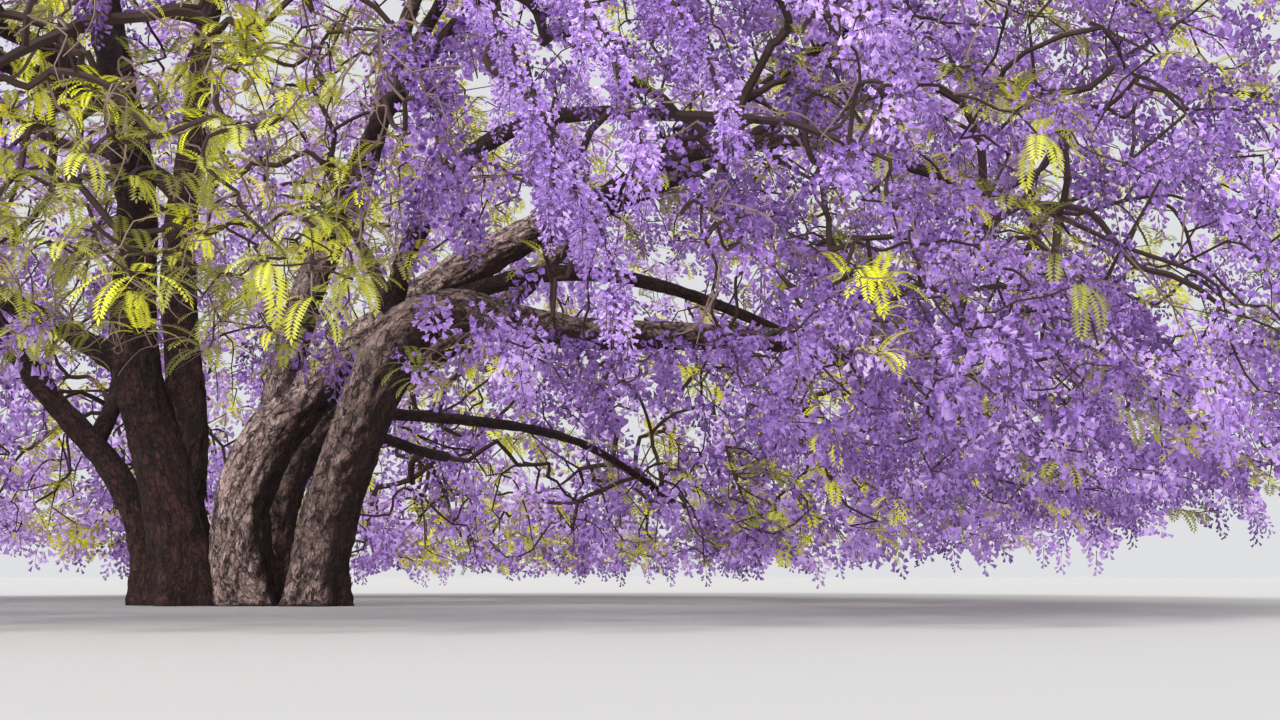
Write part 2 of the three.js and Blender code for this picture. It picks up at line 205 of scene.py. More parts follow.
# The bark's meshes: how wide and long a face is, and how the relief stands on a limb, as ridges on broad
# lumps. Near the ground a rooted stem's rings lie level. The shifts keep one limb's bark off another's.
STEM_FACE = (0.018, 0.036)
BOUGH_FACE = (0.024, 0.06)
NEARLY_UPRIGHT = 0.2
FEWEST_RINGS = 6
FEWEST_SIDES = 8
SMOOTHINGS = 4
LEVEL_UNDER = 0.7
LEVEL_EASE = 0.7
RIDGES = ((1, 1), (2.1, 0.45))
RIDGE_SHARPNESS = 2.4
RELIEF_SHARE = 0.14
LUMP_SHARE = 0.11
LUMP_WIDTH = 0.3
LUMP_LENGTH = 0.45
HIGH_LOBES = 0.1
HIGH_LOBES_HEIGHT = 0.9
RIDGE_SHIFT, LUMP_SHIFT, GRAIN_SHIFT, LOBE_SHIFT = 31, 17, 7, 1.3

# Painted sunlight: where the bark is painted paler on the side that faces the sun, and how much on each
# stem.
SUNNY_SIDE = (-0.45, -0.62, 0.65)
PAINTED_SUN = {"sunlit_stem": 1.3, "upright_limb": 0.8, "back_stem": 0.7, "elbow_stem": 0.75}
PAINTED_SUN_ELSEWHERE = 0.18

# Where leaves take the place of blossom: mostly low down on one side, and in patches all over. Some
# sprays have both.
LEAFY_SIDE = math.radians(271)
LEAFY_SPREAD = math.radians(14)
LEAFY_BELOW = 5.0
LEAFY_EASE = 2
LEAFY_SHARE = 0.27
LEAFY_AT_BACK = 0.13
LEAFY_PATCHES = 0.3
LEAFY_PATCH_SCALE = 0.55
LEAFY_IN_FRONT = 0.97
LEAFY_LIMITS = (0.03, 0.95)
BOTH = 0.85

# How the sprays hang and how large they are. None hangs lower than OVER_GROUND, and the largest reaches
# LONGEST_DROP below its foot.
BLOSSOM_SPREAD = 0.8
LEAF_SPREAD = 0.9
SPRAY_TILT = 0.25
SPRAY_SIZES = (0.78, 1.14)
TASSEL_SHRINKS = 0.2
OVER_GROUND = 0.03
LONGEST_DROP = 0.52

# The tints, from the palest to the deepest: painted shade deepens them towards the crown's heart, away
# from the sun and behind the garlands; patch, strand and spray vary them. Tassels get painted light: paler.
MEAN_TONE = 0.5
PAINTED_SHADE_INSIDE = 0.25
DEEPER_WITHIN = 0.8
PAINTED_SHADE_AWAY = 0.12
PAINTED_SHADE_BEHIND = {"low_11": 0.08}
SHADY_SIDE = math.radians(-60)
TONE_PATCHES = 0.5
TONE_PATCH_SCALE = 0.8
TONE_PATCH_SHIFT = Vector((9, 9, 9))
STRAND_TONE = 0.2
SPRAY_TONE = 0.1
TASSEL_PAINTED_LIGHT = 2

# The kinds of face in a spray of blossom, from the palest to the darkest.
LOBE, TUBE, BUD, STALK = range(4)

# How far off a spray is from the photograph's camera, or whether it is outside the picture. Its flowers
# and leaflets are larger and fewer to match.
GRADES = NEAR, FARTHER, FAR, UNSEEN = range(4)
GRADE_DEPTHS = (10.2, 16)
THINNING = 1.6

# The open flower, the closed one and the bud of each grade: the length and width in those of an open
# flower, the sides, and the kind of face. The nearest open flowers have lobes besides.
FAR_FLOWERS = ((1, 1, 3, LOBE), (1, 0.8, 3, LOBE), (0.8, 0.6, 3, TUBE))
FLOWERS = {
    NEAR: ((0.8, 0.76, 5, LOBE), (1, 0.7, 4, TUBE), (0.75, 0.5, 3, BUD)),
    FARTHER: ((1, 1, 5, LOBE), (1, 0.7, 3, TUBE), (0.75, 0.5, 3, BUD)),
    FAR: FAR_FLOWERS,
    UNSEEN: FAR_FLOWERS,
}

# A panicle: the rise of its axis at the foot and at the tip, for each form, and how its flowers stand off
# the axis, face and vary in size.
PANICLE_BENDS = [(-5, -80), (10, -65), (30, -50), (0, -75), (-15, -60), (45, -10), (20, -70), (-50, -88)]
PANICLE_STEPS = 6
AXIS_RADII = (0.0045, 0.0035, 0.002)
AXIS_HALF = 0.005
FLOWERS_FROM = 0.1
GOLDEN_TURN = math.pi * (3 - math.sqrt(5))
TURN_STRAY = 0.3
STALK_TAPER = 1.15
STALK_SHARES = (0.35, 1.15)
STALK_DROOP = -0.3
STALK_HALF = 0.0035
STALK_SHOWS = 0.05
FACE_OUT, FACE_ONWARD, FACE_DOWN, FACE_STRAY = 0.8, 0.25, -0.5, 0.28
FLOWER_TAPER = (1.1, 0.25)
FLOWER_SIZES = (0.8, 1.08)

# A leaf: its rib's rises for each form, where its leaflets start and end, and how they stand and taper.
# The leaves of a spray fan out.
LEAF_BENDS = [(25, -45), (5, -70), (50, -15)]
LEAF_STEPS = 8
RIB_HALF = 0.003
LEAFLETS_FROM = 0.12
LEAFLETS_SPAN = 0.83
LEAFLET_AHEAD, LEAFLET_DOWN = 0.55, -0.12
LEAFLET_ARCH = (0.2, 0.68)
LEAFLET_EASE = 0.8
WIDEST_SHARE = 0.42
END_LEAFLET_AT = 0.96
END_LEAFLET = 0.6
FAN_STEP = 0.75
FAN_STRAY = 0.2
FAN_SIZES = (0.7, 1.25)

SPRAY_SEED, BLOSSOM_SEED, LEAF_SEED = 1000, 7, 8

# The stage: how wide the floor is, how far the camera sees, and the width of its frame in millimetres.
FLOOR_WIDTH = 400
CAMERA_SEES = 500
FRAME_WIDTH = 36

# The stems, with their foot on the ground or on the limb that they leave, their length, their radii
# evenly along them, and the headings that they turn through: the bearing from +X and the rise.
STEMS = {
    "great_stem": dict(
        foot=(-0.42, 0), length=5.38, radii=(0.242, 0.205, 0.165, 0.125, 0.075),
        course=((170, 82), (153, 67), (300, 86), (257, 63), (266, 68))),
    "sunlit_stem": dict(
        foot=(0.1, -0.1), length=6.83, radii=(0.212, 0.205, 0.165, 0.12, 0.07),
        course=((29, 112), (32, 47), (16, 37), (29, 23), (0, 29))),
    "elbow_stem": dict(
        foot=(0.65, -0.25), length=7.12,
        radii=(0.198, 0.202, 0.222, 0.15, 0.115, 0.095, 0.076, 0.055),
        course=((-41, 85), (-18, 69), (1, 72), (12, -15), (9, -1), (16, 1), (24, -4), (19, 3))),
    "left_stem": dict(
        foot=(-0.78, 0.1), length=6.09, radii=(0.12, 0.095, 0.075, 0.06, 0.045),
        course=((130, 84), (177, 45), (221, 58), (219, 41), (180, 20))),
    "back_stem": dict(
        foot=(0.22, 0.3), length=6.84, radii=(0.16, 0.125, 0.09, 0.052),
        course=((51, 103), (56, 22), (58, 32), (60, 40))),
    "inner_stem": dict(
        leaves="great_stem", at=0.15, length=5.65, radii=(0.165, 0.14, 0.12, 0.092, 0.06),
        course=((67, 66), (145, 80), (86, 70), (93, 73), (80, 65))),
    "upright_limb": dict(
        leaves="sunlit_stem", at=0.22, length=5.34, radii=(0.14, 0.115, 0.085, 0.052),
        course=((74, 81), (57, 56), (74, 67), (50, 60))),
}
STEM_NODES = ["root_clump", "long_arm", *STEMS]

# The rings of foliage: how many masses, the bearing of the first, how far out and how high.
RINGS = {
    "low": (12, 0, 7.0, 1.9),
    "middle": (9, 20, 5.75, 5.25),
    "top": (5, 36, 3.15, 7.15),
    "tip": (1, 0, 0.0, 8.05),
}

# The masses that a stem's own tip carries.
MASSES_ON_STEMS = {
    "low_01": "elbow_stem",
    "middle_01": "sunlit_stem",
    "middle_02": "back_stem",
    "middle_05": "left_stem",
    "top_01": "upright_limb",
    "top_02": "inner_stem",
    "top_04": "great_stem",
}

# The boughs that carry the others: the limb that each leaves, how far up it, its first bearing and
# rise, its radius there, and how far under its mass's centre it comes in.
BOUGHS = {
    "low_02": ("elbow_stem", 0.3, 22, 51, 0.082, 0),
    "low_03": ("elbow_stem", 0.235, 43, 0, 0.046, 0.9),
    "low_04": ("elbow_stem", 0.2, 53, -12, 0.044, 0.7),
    "low_05": ("left_stem", 0.26, 43, 62, 0.072, 0),
    "low_06": ("left_stem", 0.55, 140, 20, 0.060, 0),
    "low_07": ("left_stem", 0.7, 200, -5, 0.056, 0),
    "low_08": ("great_stem", 0.38, 199, 33, 0.090, 0),
    "low_10": ("great_stem", 0.6, 273, 46, 0.125, 0),
    "low_09": ("low_10", 0.24, 225, 12, 0.075, 0),
    "low_11": ("sunlit_stem", 0.42, 300, 55, 0.088, 0),
    "low_12": ("sunlit_stem", 0.7, 340, 30, 0.082, 0),
    "middle_03": ("back_stem", 0.42, 110, 60, 0.080, 0),
    "middle_04": ("inner_stem", 0.52, 150, 40, 0.080, 0),
    "middle_06": ("great_stem", 0.8, 210, 40, 0.080, 0),
    "middle_07": ("low_10", 0.5, 280, 50, 0.080, 0),
    "middle_08": ("upright_limb", 0.34, 300, 50, 0.080, 0),
    "middle_09": ("sunlit_stem", 0.82, 340, 44, 0.062, 0),
    "top_03": ("great_stem", 0.9, 190, 55, 0.068, 0),
    "top_05": ("upright_limb", 0.6, 330, 60, 0.068, 0),
    "tip": ("inner_stem", 0.8, 330, 72, 0.062, 0),
}

# How the masses are joined into pieces.
QUARTERS = {
    "low_right": ["low_12", "low_01", "low_02", "low_03"],
    "low_back": ["low_04", "low_05", "low_06"],
    "low_left": ["low_07", "low_08", "low_09"],
    "low_front": ["low_10", "low_11"],
    "middle_back": ["middle_01", "middle_02", "middle_03", "middle_04", "middle_05", "middle_06"],
    "middle_front": ["middle_07", "middle_08", "middle_09"],
    "high": ["top_01", "top_02", "top_03", "top_04", "top_05", "tip"],
}


def paint(red, green, blue):
    """A screen colour, 0 to 255 each, as the linear one that Blender's sockets take."""
    shares = [value / 255 for value in (red, green, blue)]
    return tuple(((s + 0.055) / 1.055) ** 2.4 if s > 0.04045 else s / 12.92 for s in shares)


def up(height):
    return np.array([0, 0, height])


def ring_of(mass):
    return mass.split("_")[0]


# Limbs.

@dataclass
class Limb:
    """One stem or bough: its line from foot to tip and its radii evenly along it."""
    line: np.ndarray
    radii: tuple
    rooted: bool
    length: float = field(init=False)

    def __post_init__(self):
        self.length = float(np.linalg.norm(np.diff(self.line, axis=0), axis=1).sum())


def along_list(values, share):
    """The value at a share of the way along a list of evenly spaced values."""
    return np.interp(share, np.linspace(0, 1, len(values)), values)


def heading(bearing, rise):
    turn, lift = np.radians(bearing), np.radians(rise)
    return np.stack([np.cos(lift) * np.cos(turn), np.cos(lift) * np.sin(turn), np.sin(lift)], axis=-1)


def unit(vector):
    return vector / np.linalg.norm(vector, axis=-1, keepdims=True)


def stem_line(foot, course, length):
    """Equal steps, each along a heading that turns evenly from one of the course's headings to the next."""
    shares = (np.arange(COURSE_STEPS) + 0.5) / COURSE_STEPS
    bearings, rises = zip(*course)
    steps = heading(along_list(bearings, shares), along_list(rises, shares)) * length / COURSE_STEPS
    return np.vstack([foot, foot + np.cumsum(steps, axis=0)])


def bough_line(start, leaves, end, enters):
    """A cubic curve that leaves with one direction and comes in with another."""
    pull = np.linalg.norm(end - start) * HANDLE
    t = np.linspace(0, 1, COURSE_STEPS + 1)[:, None]
    near, far = start + leaves * pull, end - enters * pull
    return (1 - t) ** 3 * start + 3 * (1 - t) ** 2 * t * near + 3 * (1 - t) * t ** 2 * far + t ** 3 * end


def swell_on(limb, run):
    """How much fatter than its taper a limb is: root flare, or a collar where it leaves another limb."""
    if limb.rooted:
        return FLARE * np.exp(-run / FLARE_HEIGHT)
    return COLLAR * np.exp(-run / (2 * limb.radii[0]))


def radius_on(limb, share):
    return along_list(limb.radii, share) * (1 + swell_on(limb, share * limb.length))


def step_at(share):
    return int(math.floor(share * COURSE_STEPS + 0.5))


def hem_at(side):
    return HEM_MEAN - HEM_SWING * np.cos(side - HEM_LOW_SIDE)


def mass_centres():
    """The centres of the masses, ring by ring. The lowest ring rises and falls with the hem."""
    places = {}
    for ring, (count, first, out, height) in RINGS.items():
        for i in range(count):
            side = math.radians(first + 360 / count * i)
            name = f"{ring}_{i + 1:02d}" if count > 1 else ring
            lift = hem_at(side) * HEM_LIFT if ring == "low" else 0
            spot = (CROWN_CENTRE_X + out * math.cos(side), out * math.sin(side), height + lift)
            places[name] = np.array(spot)
    return places


CENTRES = mass_centres()


def make_limbs():
    limbs = {}
    for name, row in STEMS.items():
        if "leaves" in row:
            foot = limbs[row["leaves"]].line[step_at(row["at"])]
        else:
            foot = np.array([*row["foot"], 0.0])
        limbs[name] = Limb(stem_line(foot, row["course"], row["length"]), row["radii"], "foot" in row)
    for mass, (parent, at, bearing, rise, radius, drop) in BOUGHS.items():
        start = limbs[parent].line[step_at(at)]
        home = unit(CENTRES[mass] - start)
        gate = CENTRES[mass] - home * MASS_REACH * GATE_SHARE - up(drop)
        enters = unit(home + up(ENTRY_RISE[ring_of(mass)]))
        line = bough_line(start, heading(bearing, rise), gate, enters)
        limbs[mass] = Limb(line, (radius, BOUGH_TIP), False)
    return limbs


LIMBS = make_limbs()
LIMB_SHARES = np.linspace(0, 1, COURSE_STEPS + 1)
LIMB_SPOTS = np.vstack([limb.line for limb in LIMBS.values()])
LIMB_REACH = np.concatenate([radius_on(limb, LIMB_SHARES) for limb in LIMBS.values()]) + LIMB_MARGIN


def limb_of(mass):
    """The limb that carries a mass."""
    return LIMBS[MASSES_ON_STEMS.get(mass, mass)]


def clear_of_limbs(spots):
    """Which of these spots are clear of every limb."""
    away = np.linalg.norm(spots[:, None] - LIMB_SPOTS[None], axis=2)
    return (away >= LIMB_REACH).all(axis=1)


def clear_between(start, end):
    shares = (np.arange(CHECKS_A_TWIG) + 1)[:, None] / CHECKS_A_TWIG
    return clear_of_limbs(start + (end - start) * shares).all()


# The crown's rule.

def seeded(seed):
    """Draws the same numbers from 0 to 1 each time for one seed."""
    state = seed * 2654435761 % 2 ** 32

    def draw():
        nonlocal state
        state = (state * 1664525 + 1013904223) % 2 ** 32
        return state / 2 ** 32
    return draw


def side_of(spots):
    return np.arctan2(spots[..., 1], spots[..., 0] - CROWN_CENTRE_X)


def crown_share(spots):
    """How far out spots are in the crown: 0 at its heart and 1 on its outline."""
    radius = CROWN_RADIUS * (1 + LOBE_DEPTH * np.cos(LOBES * side_of(spots)))
    out = np.hypot(spots[..., 0] - CROWN_CENTRE_X, spots[..., 1]) / radius
    high = spots[..., 2] - WIDEST_AT
    under = out + TUCK_UNDER * (high / WIDEST_AT) ** 2
    over = np.hypot(out, high / (CROWN_HEIGHT - WIDEST_AT))
    return np.where(high < 0, under, over)


def in_own_space(mass, spots, margin):
    """Which spots are nearer to this mass's centre than to any other, with a margin."""
    own = CENTRES[mass]
    inside = np.ones(spots.shape[:-1], bool)
    for other, centre in CENTRES.items():
        if other != mass:
            nearer = ((spots - centre) ** 2).sum(-1) - ((spots - own) ** 2).sum(-1)
            inside &= nearer / (2 * np.linalg.norm(own - centre)) >= margin
    return inside


def spray_places(mass, draw):
    """The places of a mass's main twigs: each the farthest from the others of a number of tries."""
    places = []
    for _ in range(SPRAYS_A_MASS):
        aside = np.array([[draw() - 0.5 for _ in range(3)] for _ in range(TRIES_A_SPRAY)])
        spots = CENTRES[mass] + aside * 2 * MASS_REACH
        share = crown_share(spots)
        fit = (share >= INNER_SHARE) & (share <= OUTER_SHARE)
        fit &= spots[:, 2] >= hem_at(side_of(spots)) + SPRAY_WIDTH
        fit &= in_own_space(mass, spots, PLACE_MARGIN)
        spots = spots[fit]
        if not len(spots):
            continue
        room = np.full(len(spots), MASS_REACH)
        for place in places:
            room = np.minimum(room, np.linalg.norm(spots - place, axis=1))
        best = spots[np.argmax(room)]
        if clear_of_limbs(best[None])[0]:
            places.append(best)
    return places


def fits(mass, spots):
    """Which spots a finer twig may reach: in the crown's shell, over its hem, in the mass's own space and
    clear of the limbs."""
    share = crown_share(spots)
    fit = (share >= FINE_INNER_SHARES[ring_of(mass)]) & (share <= FINE_OUTER_SHARE)
    fit &= spots[:, 2] >= hem_at(side_of(spots)) + FINE_HEM
    fit &= in_own_space(mass, spots, FINE_MARGIN)
    fit[fit] = clear_of_limbs(spots[fit])
    return fit


def strand_from(head, rises, bearings, step):
    """The spots of a hanging twig, from its head on."""
    return head + np.vstack([np.zeros(3), np.cumsum(heading(bearings, rises) * step, axis=0)])


def cascade_from(head, wander, rng):
    """The spots of one hanging twig, which arches out and over."""
    count = int(rng.integers(FEWEST_KNOTS, MOST_KNOTS + 1))
    bearing = np.degrees(side_of(head) + rng.normal(0, CASCADE_SPREAD))
    droop = np.interp(head[2], list(DROOPS), list(DROOPS.values()))
    rises = -np.linspace(DROOP_FROM, 1, count) * droop + rng.normal(0, RISE_STRAY * wander, count)
    bearings = np.full(count, bearing) + rng.normal(0, BEARING_STRAY * wander, count)
    return strand_from(head, rises, bearings, CASCADE_STEP)


def garland(head, bearing, count, rng):
    """The spots of a long twig that hangs nearly straight down."""
    rises = -np.linspace(*GARLAND_RISES, count) + rng.normal(0, GARLAND_RISE_STRAY, count)
    bearings = np.full(count, bearing) + rng.normal(0, GARLAND_BEARING_STRAY, count)
    return strand_from(np.array(head), rises, bearings, GARLAND_STEP)


def keeps_off(spots, kept):
    """Which spots leave room for what is kept clear, when a spray hangs from each."""
    middles = spots - up(SPRAY_DROP)
    return (np.linalg.norm(middles[:, None] - kept[None, :, :3], axis=2) >= kept[:, 3]).all(axis=1)


def in_sight(spots, sight, room):
    """Spots along the lines of sight from these ones to the photograph's camera, with the room for each."""
    toward = unit(np.array(CAMERA) - spots)
    seen = (spots[:, None] + toward[:, None] * np.arange(*sight, room)[None, :, None]).reshape(-1, 3)
    return np.column_stack([seen, np.full(len(seen), room)])


def kept_clear(mass, hung):
    """What a mass's sprays leave room for."""
    seen = [LIMBS[SEEN_LIMB].line[step_at(SEEN_FROM):step_at(SEEN_TO)]]
    for arms in ARMS.values():
        seen += [through(np.array(arm), np.zeros(len(arm)), ARM_STEPS)[0] for arm in arms]
    kept = [in_sight(line, SIGHT, SEEN_ROOM) for line in seen]
    kept += [in_sight(line, GARLAND_SIGHT, GARLAND_ROOM) for line in hung]
    kept = np.vstack(kept)
    near = np.linalg.norm(kept[:, :3] - CENTRES[mass], axis=1) < 2 * MASS_REACH
    return kept[near]


def cascades(mass, count, wander, kept, rng):
    """The hanging twigs of a mass: each starts where there is the most room of a few tries, more so near
    the hem, and goes on as far as it fits."""
    spots = CENTRES[mass] + (rng.random((FINE_POOL, 3)) - 0.5) * 2 * MASS_REACH
    spots = spots[fits(mass, spots)]
    spots = spots[keeps_off(spots, kept)]
    room = np.full(len(spots), MASS_REACH)
    pull = 1 + HEM_PULL * np.exp((hem_at(side_of(spots)) - spots[:, 2]) / HEM_PULL_HEIGHT)
    found = []
    while sum(map(len, found)) < count:
        tries = rng.integers(0, len(spots), FINE_TRIES)
        line = cascade_from(spots[tries[np.argmax(room[tries] * pull[tries])]], wander, rng)
        fit = fits(mass, line) & keeps_off(line, kept)
        line = line[:len(line) if fit.all() else int(np.argmin(fit))]
        found.append(line)
        for spot in line:
            room = np.minimum(room, np.linalg.norm(spots - spot, axis=1))
    return found


def sprays_in(mass, count):
    """How many sprays a mass has for this many on the whole."""
    ring = ring_of(mass)
    extra = BACK_FILL * max(0, math.cos(side_of(CENTRES[mass]) - HEM_LOW_SIDE)) if ring == "low" else 0
    return round(count * (FILL.get(mass, FILL[ring]) + extra))


@dataclass
class Twigs:
    """The twigs of one mass: knots, the knot that each grows from, how far along the twigs it is, what
    it bears, how far a twig is inside the limb that it starts in, and the strand that it belongs to."""
    at: list = field(default_factory=list)
    back: list = field(default_factory=list)
    run: list = field(default_factory=list)
    bears: list = field(default_factory=list)
    inside: list = field(default_factory=list)
    strands: list = field(default_factory=list)
    strand: int = 0

    def start_strand(self):
        self.strand = len(self.at)

    def put(self, place, back, run, bears, inside):
        self.at.append(place)
        self.back.append(back)
        self.run.append(run)
        self.bears.append(bears)
        self.inside.append(inside)
        self.strands.append(self.strand)

    def root(self, place, inside, run):
        """A knot that starts on a limb: it grows from no other."""
        self.put(place, len(self.at), run, NOTHING, inside)

    def add(self, place, back, bears):
        """A knot that grows from another, and its number."""
        run = self.run[back] + float(np.linalg.norm(place - self.at[back]))
        self.put(place, back, run, bears, 0.0)
        return len(self.at) - 1

    def join(self, place):
        """The knot that gives a place the shortest way home, clear of the limbs."""
        away = np.linalg.norm(np.array(self.at) - place, axis=1)
        order = np.argsort(away + FINE_DETOUR * np.array(self.run))
        for knot in order[:JOIN_TRIES]:
            if away[knot] <= self.inside[knot]:
                continue
            out = self.at[knot] + (place - self.at[knot]) * self.inside[knot] / away[knot]
            if clear_between(out, place):
                return int(knot)
        return None

    def lead(self, back, place, bears, spacing, rng):
        """Grows crooked knots from a knot to a place."""
        start = self.at[back]
        way = place - start
        span = np.linalg.norm(way)
        legs = max(1, round(span / spacing))
        stray = np.cumsum(rng.normal(0, CROOK * span / legs, (legs, 3)), axis=0)
        for leg in range(1, legs):
            bent = start + way * leg / legs + stray[leg - 1] - stray[-1] * leg / legs
            bent[2] += ARCH * span * math.sin(math.pi * leg / legs)
            back = self.add(bent, back, NOTHING)
        return self.add(place, back, bears)


def leader(mass, start, onward, rng):
    """The spots of a mass's own limb, as far as it stays in the crown and in the mass's own space."""
    spot, way = start, onward
    for _ in range(LEADER_KNOTS):
        away = heading(np.degrees(side_of(spot)), -LEADER_DROOP)
        way = unit(way + LEADER_TURN * away + rng.normal(0, LEADER_STRAY, 3))
        spot = spot + way * KNOT_SPACING
        if crown_share(spot) > OUTER_SHARE or not in_own_space(mass, spot, PLACE_MARGIN):
            return
        if not clear_of_limbs(spot[None])[0]:
            return
        yield spot


def grow_main_twigs(mass, seed, rng, spacing):
    """A mass's first knot, and its twigs by the crown's rule, with knots on its limb for the finer ones."""
    limb = limb_of(mass)
    onward = unit(limb.line[-1] - limb.line[-2])
    gate = limb.line[-1] + onward * CLEAR
    first = gate + onward * SPRAY_WIDTH / 2
    twigs = Twigs()
    twigs.root(gate, 0.0, 0.0)
    knot = twigs.add(first, 0, NOTHING)
    for spot in leader(mass, first, onward, rng):
        knot = twigs.add(spot, knot, LEADER)
    for place in sorted(spray_places(mass, seeded(seed)), key=lambda spot: np.linalg.norm(spot - first)):
        back = twigs.join(place)
        if back is not None:
            twigs.start_strand()
            twigs.lead(back, place, SPRAY, spacing, rng)
    side_twigs = round(limb.length * (SIDE_TWIGS_TO - SIDE_TWIGS_FROM) / SIDE_TWIG_SPACING)
    for share in np.linspace(SIDE_TWIGS_FROM, SIDE_TWIGS_TO, side_twigs):
        inside = radius_on(limb, share) + LIMB_MARGIN
        twigs.root(limb.line[step_at(share)], float(inside), SIDE_TWIG_DETOUR / FINE_DETOUR)
    return first, twigs


def grow_twigs(mass, seed, count):
    """The twigs of a mass: the main ones, then the finer ones on them and on the mass's limb."""
    rng = np.random.default_rng(seed)
    spacing = NEAR_KNOT_SPACING if mass in NEAREST else KNOT_SPACING
    first, twigs = grow_main_twigs(mass, seed, rng, spacing)
    arms = [np.array(arm) for arm in ARMS.get(mass, [])]
    hung = [garland(*row, rng) for row in GARLANDS.get(mass, [])]
    kept = kept_clear(mass, hung)
    full = sorted(cascades(mass, count, 1, kept, rng), key=lambda line: np.linalg.norm(line[0] - first))
    bare = cascades(mass, BARE[mass], BARE_WANDER, kept, rng) if mass in BARE else []
    kinds = [ARM] * len(arms) + [TASSEL] * len(hung) + [SPRAY] * len(full) + [BARE_TWIG] * len(bare)
    for bears, line in zip(kinds, arms + hung + full + bare):
        back = twigs.join(line[0])
        if back is not None and np.linalg.norm(twigs.at[back] - line[0]) < MASS_REACH / 2:
            twigs.start_strand()
            for place in line:
                back = twigs.lead(back, place, bears, spacing, rng)
                if bears == BARE_TWIG:
                    twigs.add(place + rng.normal(0, SPUR, 3), back, BARE_TWIG)
    return twigs


@functools.lru_cache(maxsize=1)
def grown_crown(count):
    """The twigs of every mass, by its name."""
    return {mass: grow_twigs(mass, i + 1, sprays_in(mass, count)) for i, mass in enumerate(CENTRES)}


# Meshes from arrays.

@dataclass
class Faces:
    """Triangles of one kind, with a slot number each."""
    spots: np.ndarray
    corners: np.ndarray
    slots: np.ndarray


def joined(parts):
    """Several sets of triangles as one."""
    offsets = np.cumsum([0] + [len(p.spots) for p in parts[:-1]])
    return Faces(
        np.concatenate([p.spots for p in parts]),
        np.concatenate([p.corners + offset for p, offset in zip(parts, offsets)]),
        np.concatenate([p.slots for p in parts]))


def add_object(name, data):
    holder = bpy.data.objects.new(name, data)
    bpy.context.scene.collection.objects.link(holder)
    return holder


def mesh_object(name, faces, materials, smooth=False):
    mesh = bpy.data.meshes.new(name)
    count = len(faces.corners)
    mesh.vertices.add(len(faces.spots))
    mesh.vertices.foreach_set("co", faces.spots.astype(np.float32).ravel())
    mesh.loops.add(3 * count)
    mesh.loops.foreach_set("vertex_index", faces.corners.astype(np.int32).ravel())
    mesh.polygons.add(count)
    mesh.polygons.foreach_set("loop_start", np.arange(0, 3 * count, 3, dtype=np.int32))
    for material in materials:
        mesh.materials.append(material)
    mesh.polygons.foreach_set("material_index", faces.slots.astype(np.int32))
    mesh.polygons.foreach_set("use_smooth", np.full(count, smooth))
    mesh.update(calc_edges=True)
    return add_object(name, mesh)


def add_values(piece, name, kind, part, values):
    """Gives each spot of a piece a named value."""
    attribute = piece.data.attributes.new(name, kind, "POINT")
    attribute.data.foreach_set(part, np.concatenate(values).astype(np.float32).ravel())


def hand_over(piece, nodes):
    """Says what a piece rides on, takes its finish from and stands for."""
    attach(piece, BODY)
    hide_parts(*nodes)


def through(points, values, steps):
    """A smooth line through points, with its values, at this many steps from each to the next."""
    padded = np.vstack([2 * points[0] - points[1], points, 2 * points[-1] - points[-2]])
    t = (np.arange(steps) / steps)[None, :, None]
    a, b, c, d = (padded[i:len(points) - 1 + i][:, None] for i in range(4))
    line = b + 0.5 * t * (c - a + t * (2 * a - 5 * b + 4 * c - d + t * (3 * (b - c) + d - a)))
    line = np.vstack([line.reshape(-1, 3), points[-1:]])
    return line, np.interp(np.arange(len(line)) / steps, np.arange(len(values)), values)


def sides_along(tangents):
    """Two directions square to the line at each of its points, with no twist."""
    start = np.cross(tangents[0], [0.0, 0.0, 1.0])
    if np.linalg.norm(start) < NEARLY_UPRIGHT:
        start = np.cross(tangents[0], [0.0, 1.0, 0.0])
    across = [unit(start)]
    for tangent in tangents[1:]:
        across.append(unit(across[-1] - tangent * (across[-1] @ tangent)))
    across = np.array(across)
    return across, np.cross(tangents, across)


def tube_corners(rings, sides):
    """The triangles of a tube of rings, with its two ends closed on one spot each."""
    around = np.arange(sides)
    low = (np.arange(rings - 1) * sides)[:, None]
    a, b = (low + around).ravel(), (low + (around + 1) % sides).ravel()
    wall = np.concatenate([np.stack([a, b, b + sides], 1), np.stack([a, b + sides, a + sides], 1)])
    foot = np.stack([(around + 1) % sides, around, np.full(sides, rings * sides)], 1)
    last = (rings - 1) * sides
    tip = np.stack([last + around, last + (around + 1) % sides, np.full(sides, rings * sides + 1)], 1)
    return np.concatenate([wall, foot, tip])


def angles_round(sides, first=0.0):
    return (np.arange(sides) + first) * 2 * math.pi / sides


def ring_spots(line, tangents, radii, sides):
    """The spots of the rings round a line. radii has a column for each spot of a ring, or one for all."""
    across, beside = sides_along(tangents)
    turns = angles_round(sides)[None, :, None]
    ring = np.cos(turns) * across[:, None] + np.sin(turns) * beside[:, None]
    return (line[:, None] + ring * radii[:, :, None]).reshape(-1, 3)


def tube(line, radii, sides, slot=0):
    """A closed tube along a line, with a radius for each of its points."""
    spots = ring_spots(line, unit(np.gradient(line, axis=0)), np.asarray(radii)[:, None], sides)
    corners = tube_corners(len(line), sides)
    return Faces(np.vstack([spots, line[0], line[-1]]), corners, np.full(len(corners), slot))


# Materials.

MIX_SOCKETS = {"VECTOR": (4, 5, 1), "RGBA": (6, 7, 2)}


def shader_of(material):
    return material.node_tree.nodes["Principled BSDF"]


def plain_material(name, color, roughness):
    material = bpy.data.materials.new(name)
    material.use_nodes = True
    shader_of(material).inputs["Base Color"].default_value = (*color, 1)
    shader_of(material).inputs["Roughness"].default_value = roughness
    return material


def add_node(material, kind, **settings):
    node = material.node_tree.nodes.new(kind)
    for name, value in settings.items():
        if name in node.inputs:
            node.inputs[name].default_value = value
        else:
            setattr(node, name, value)
    return node


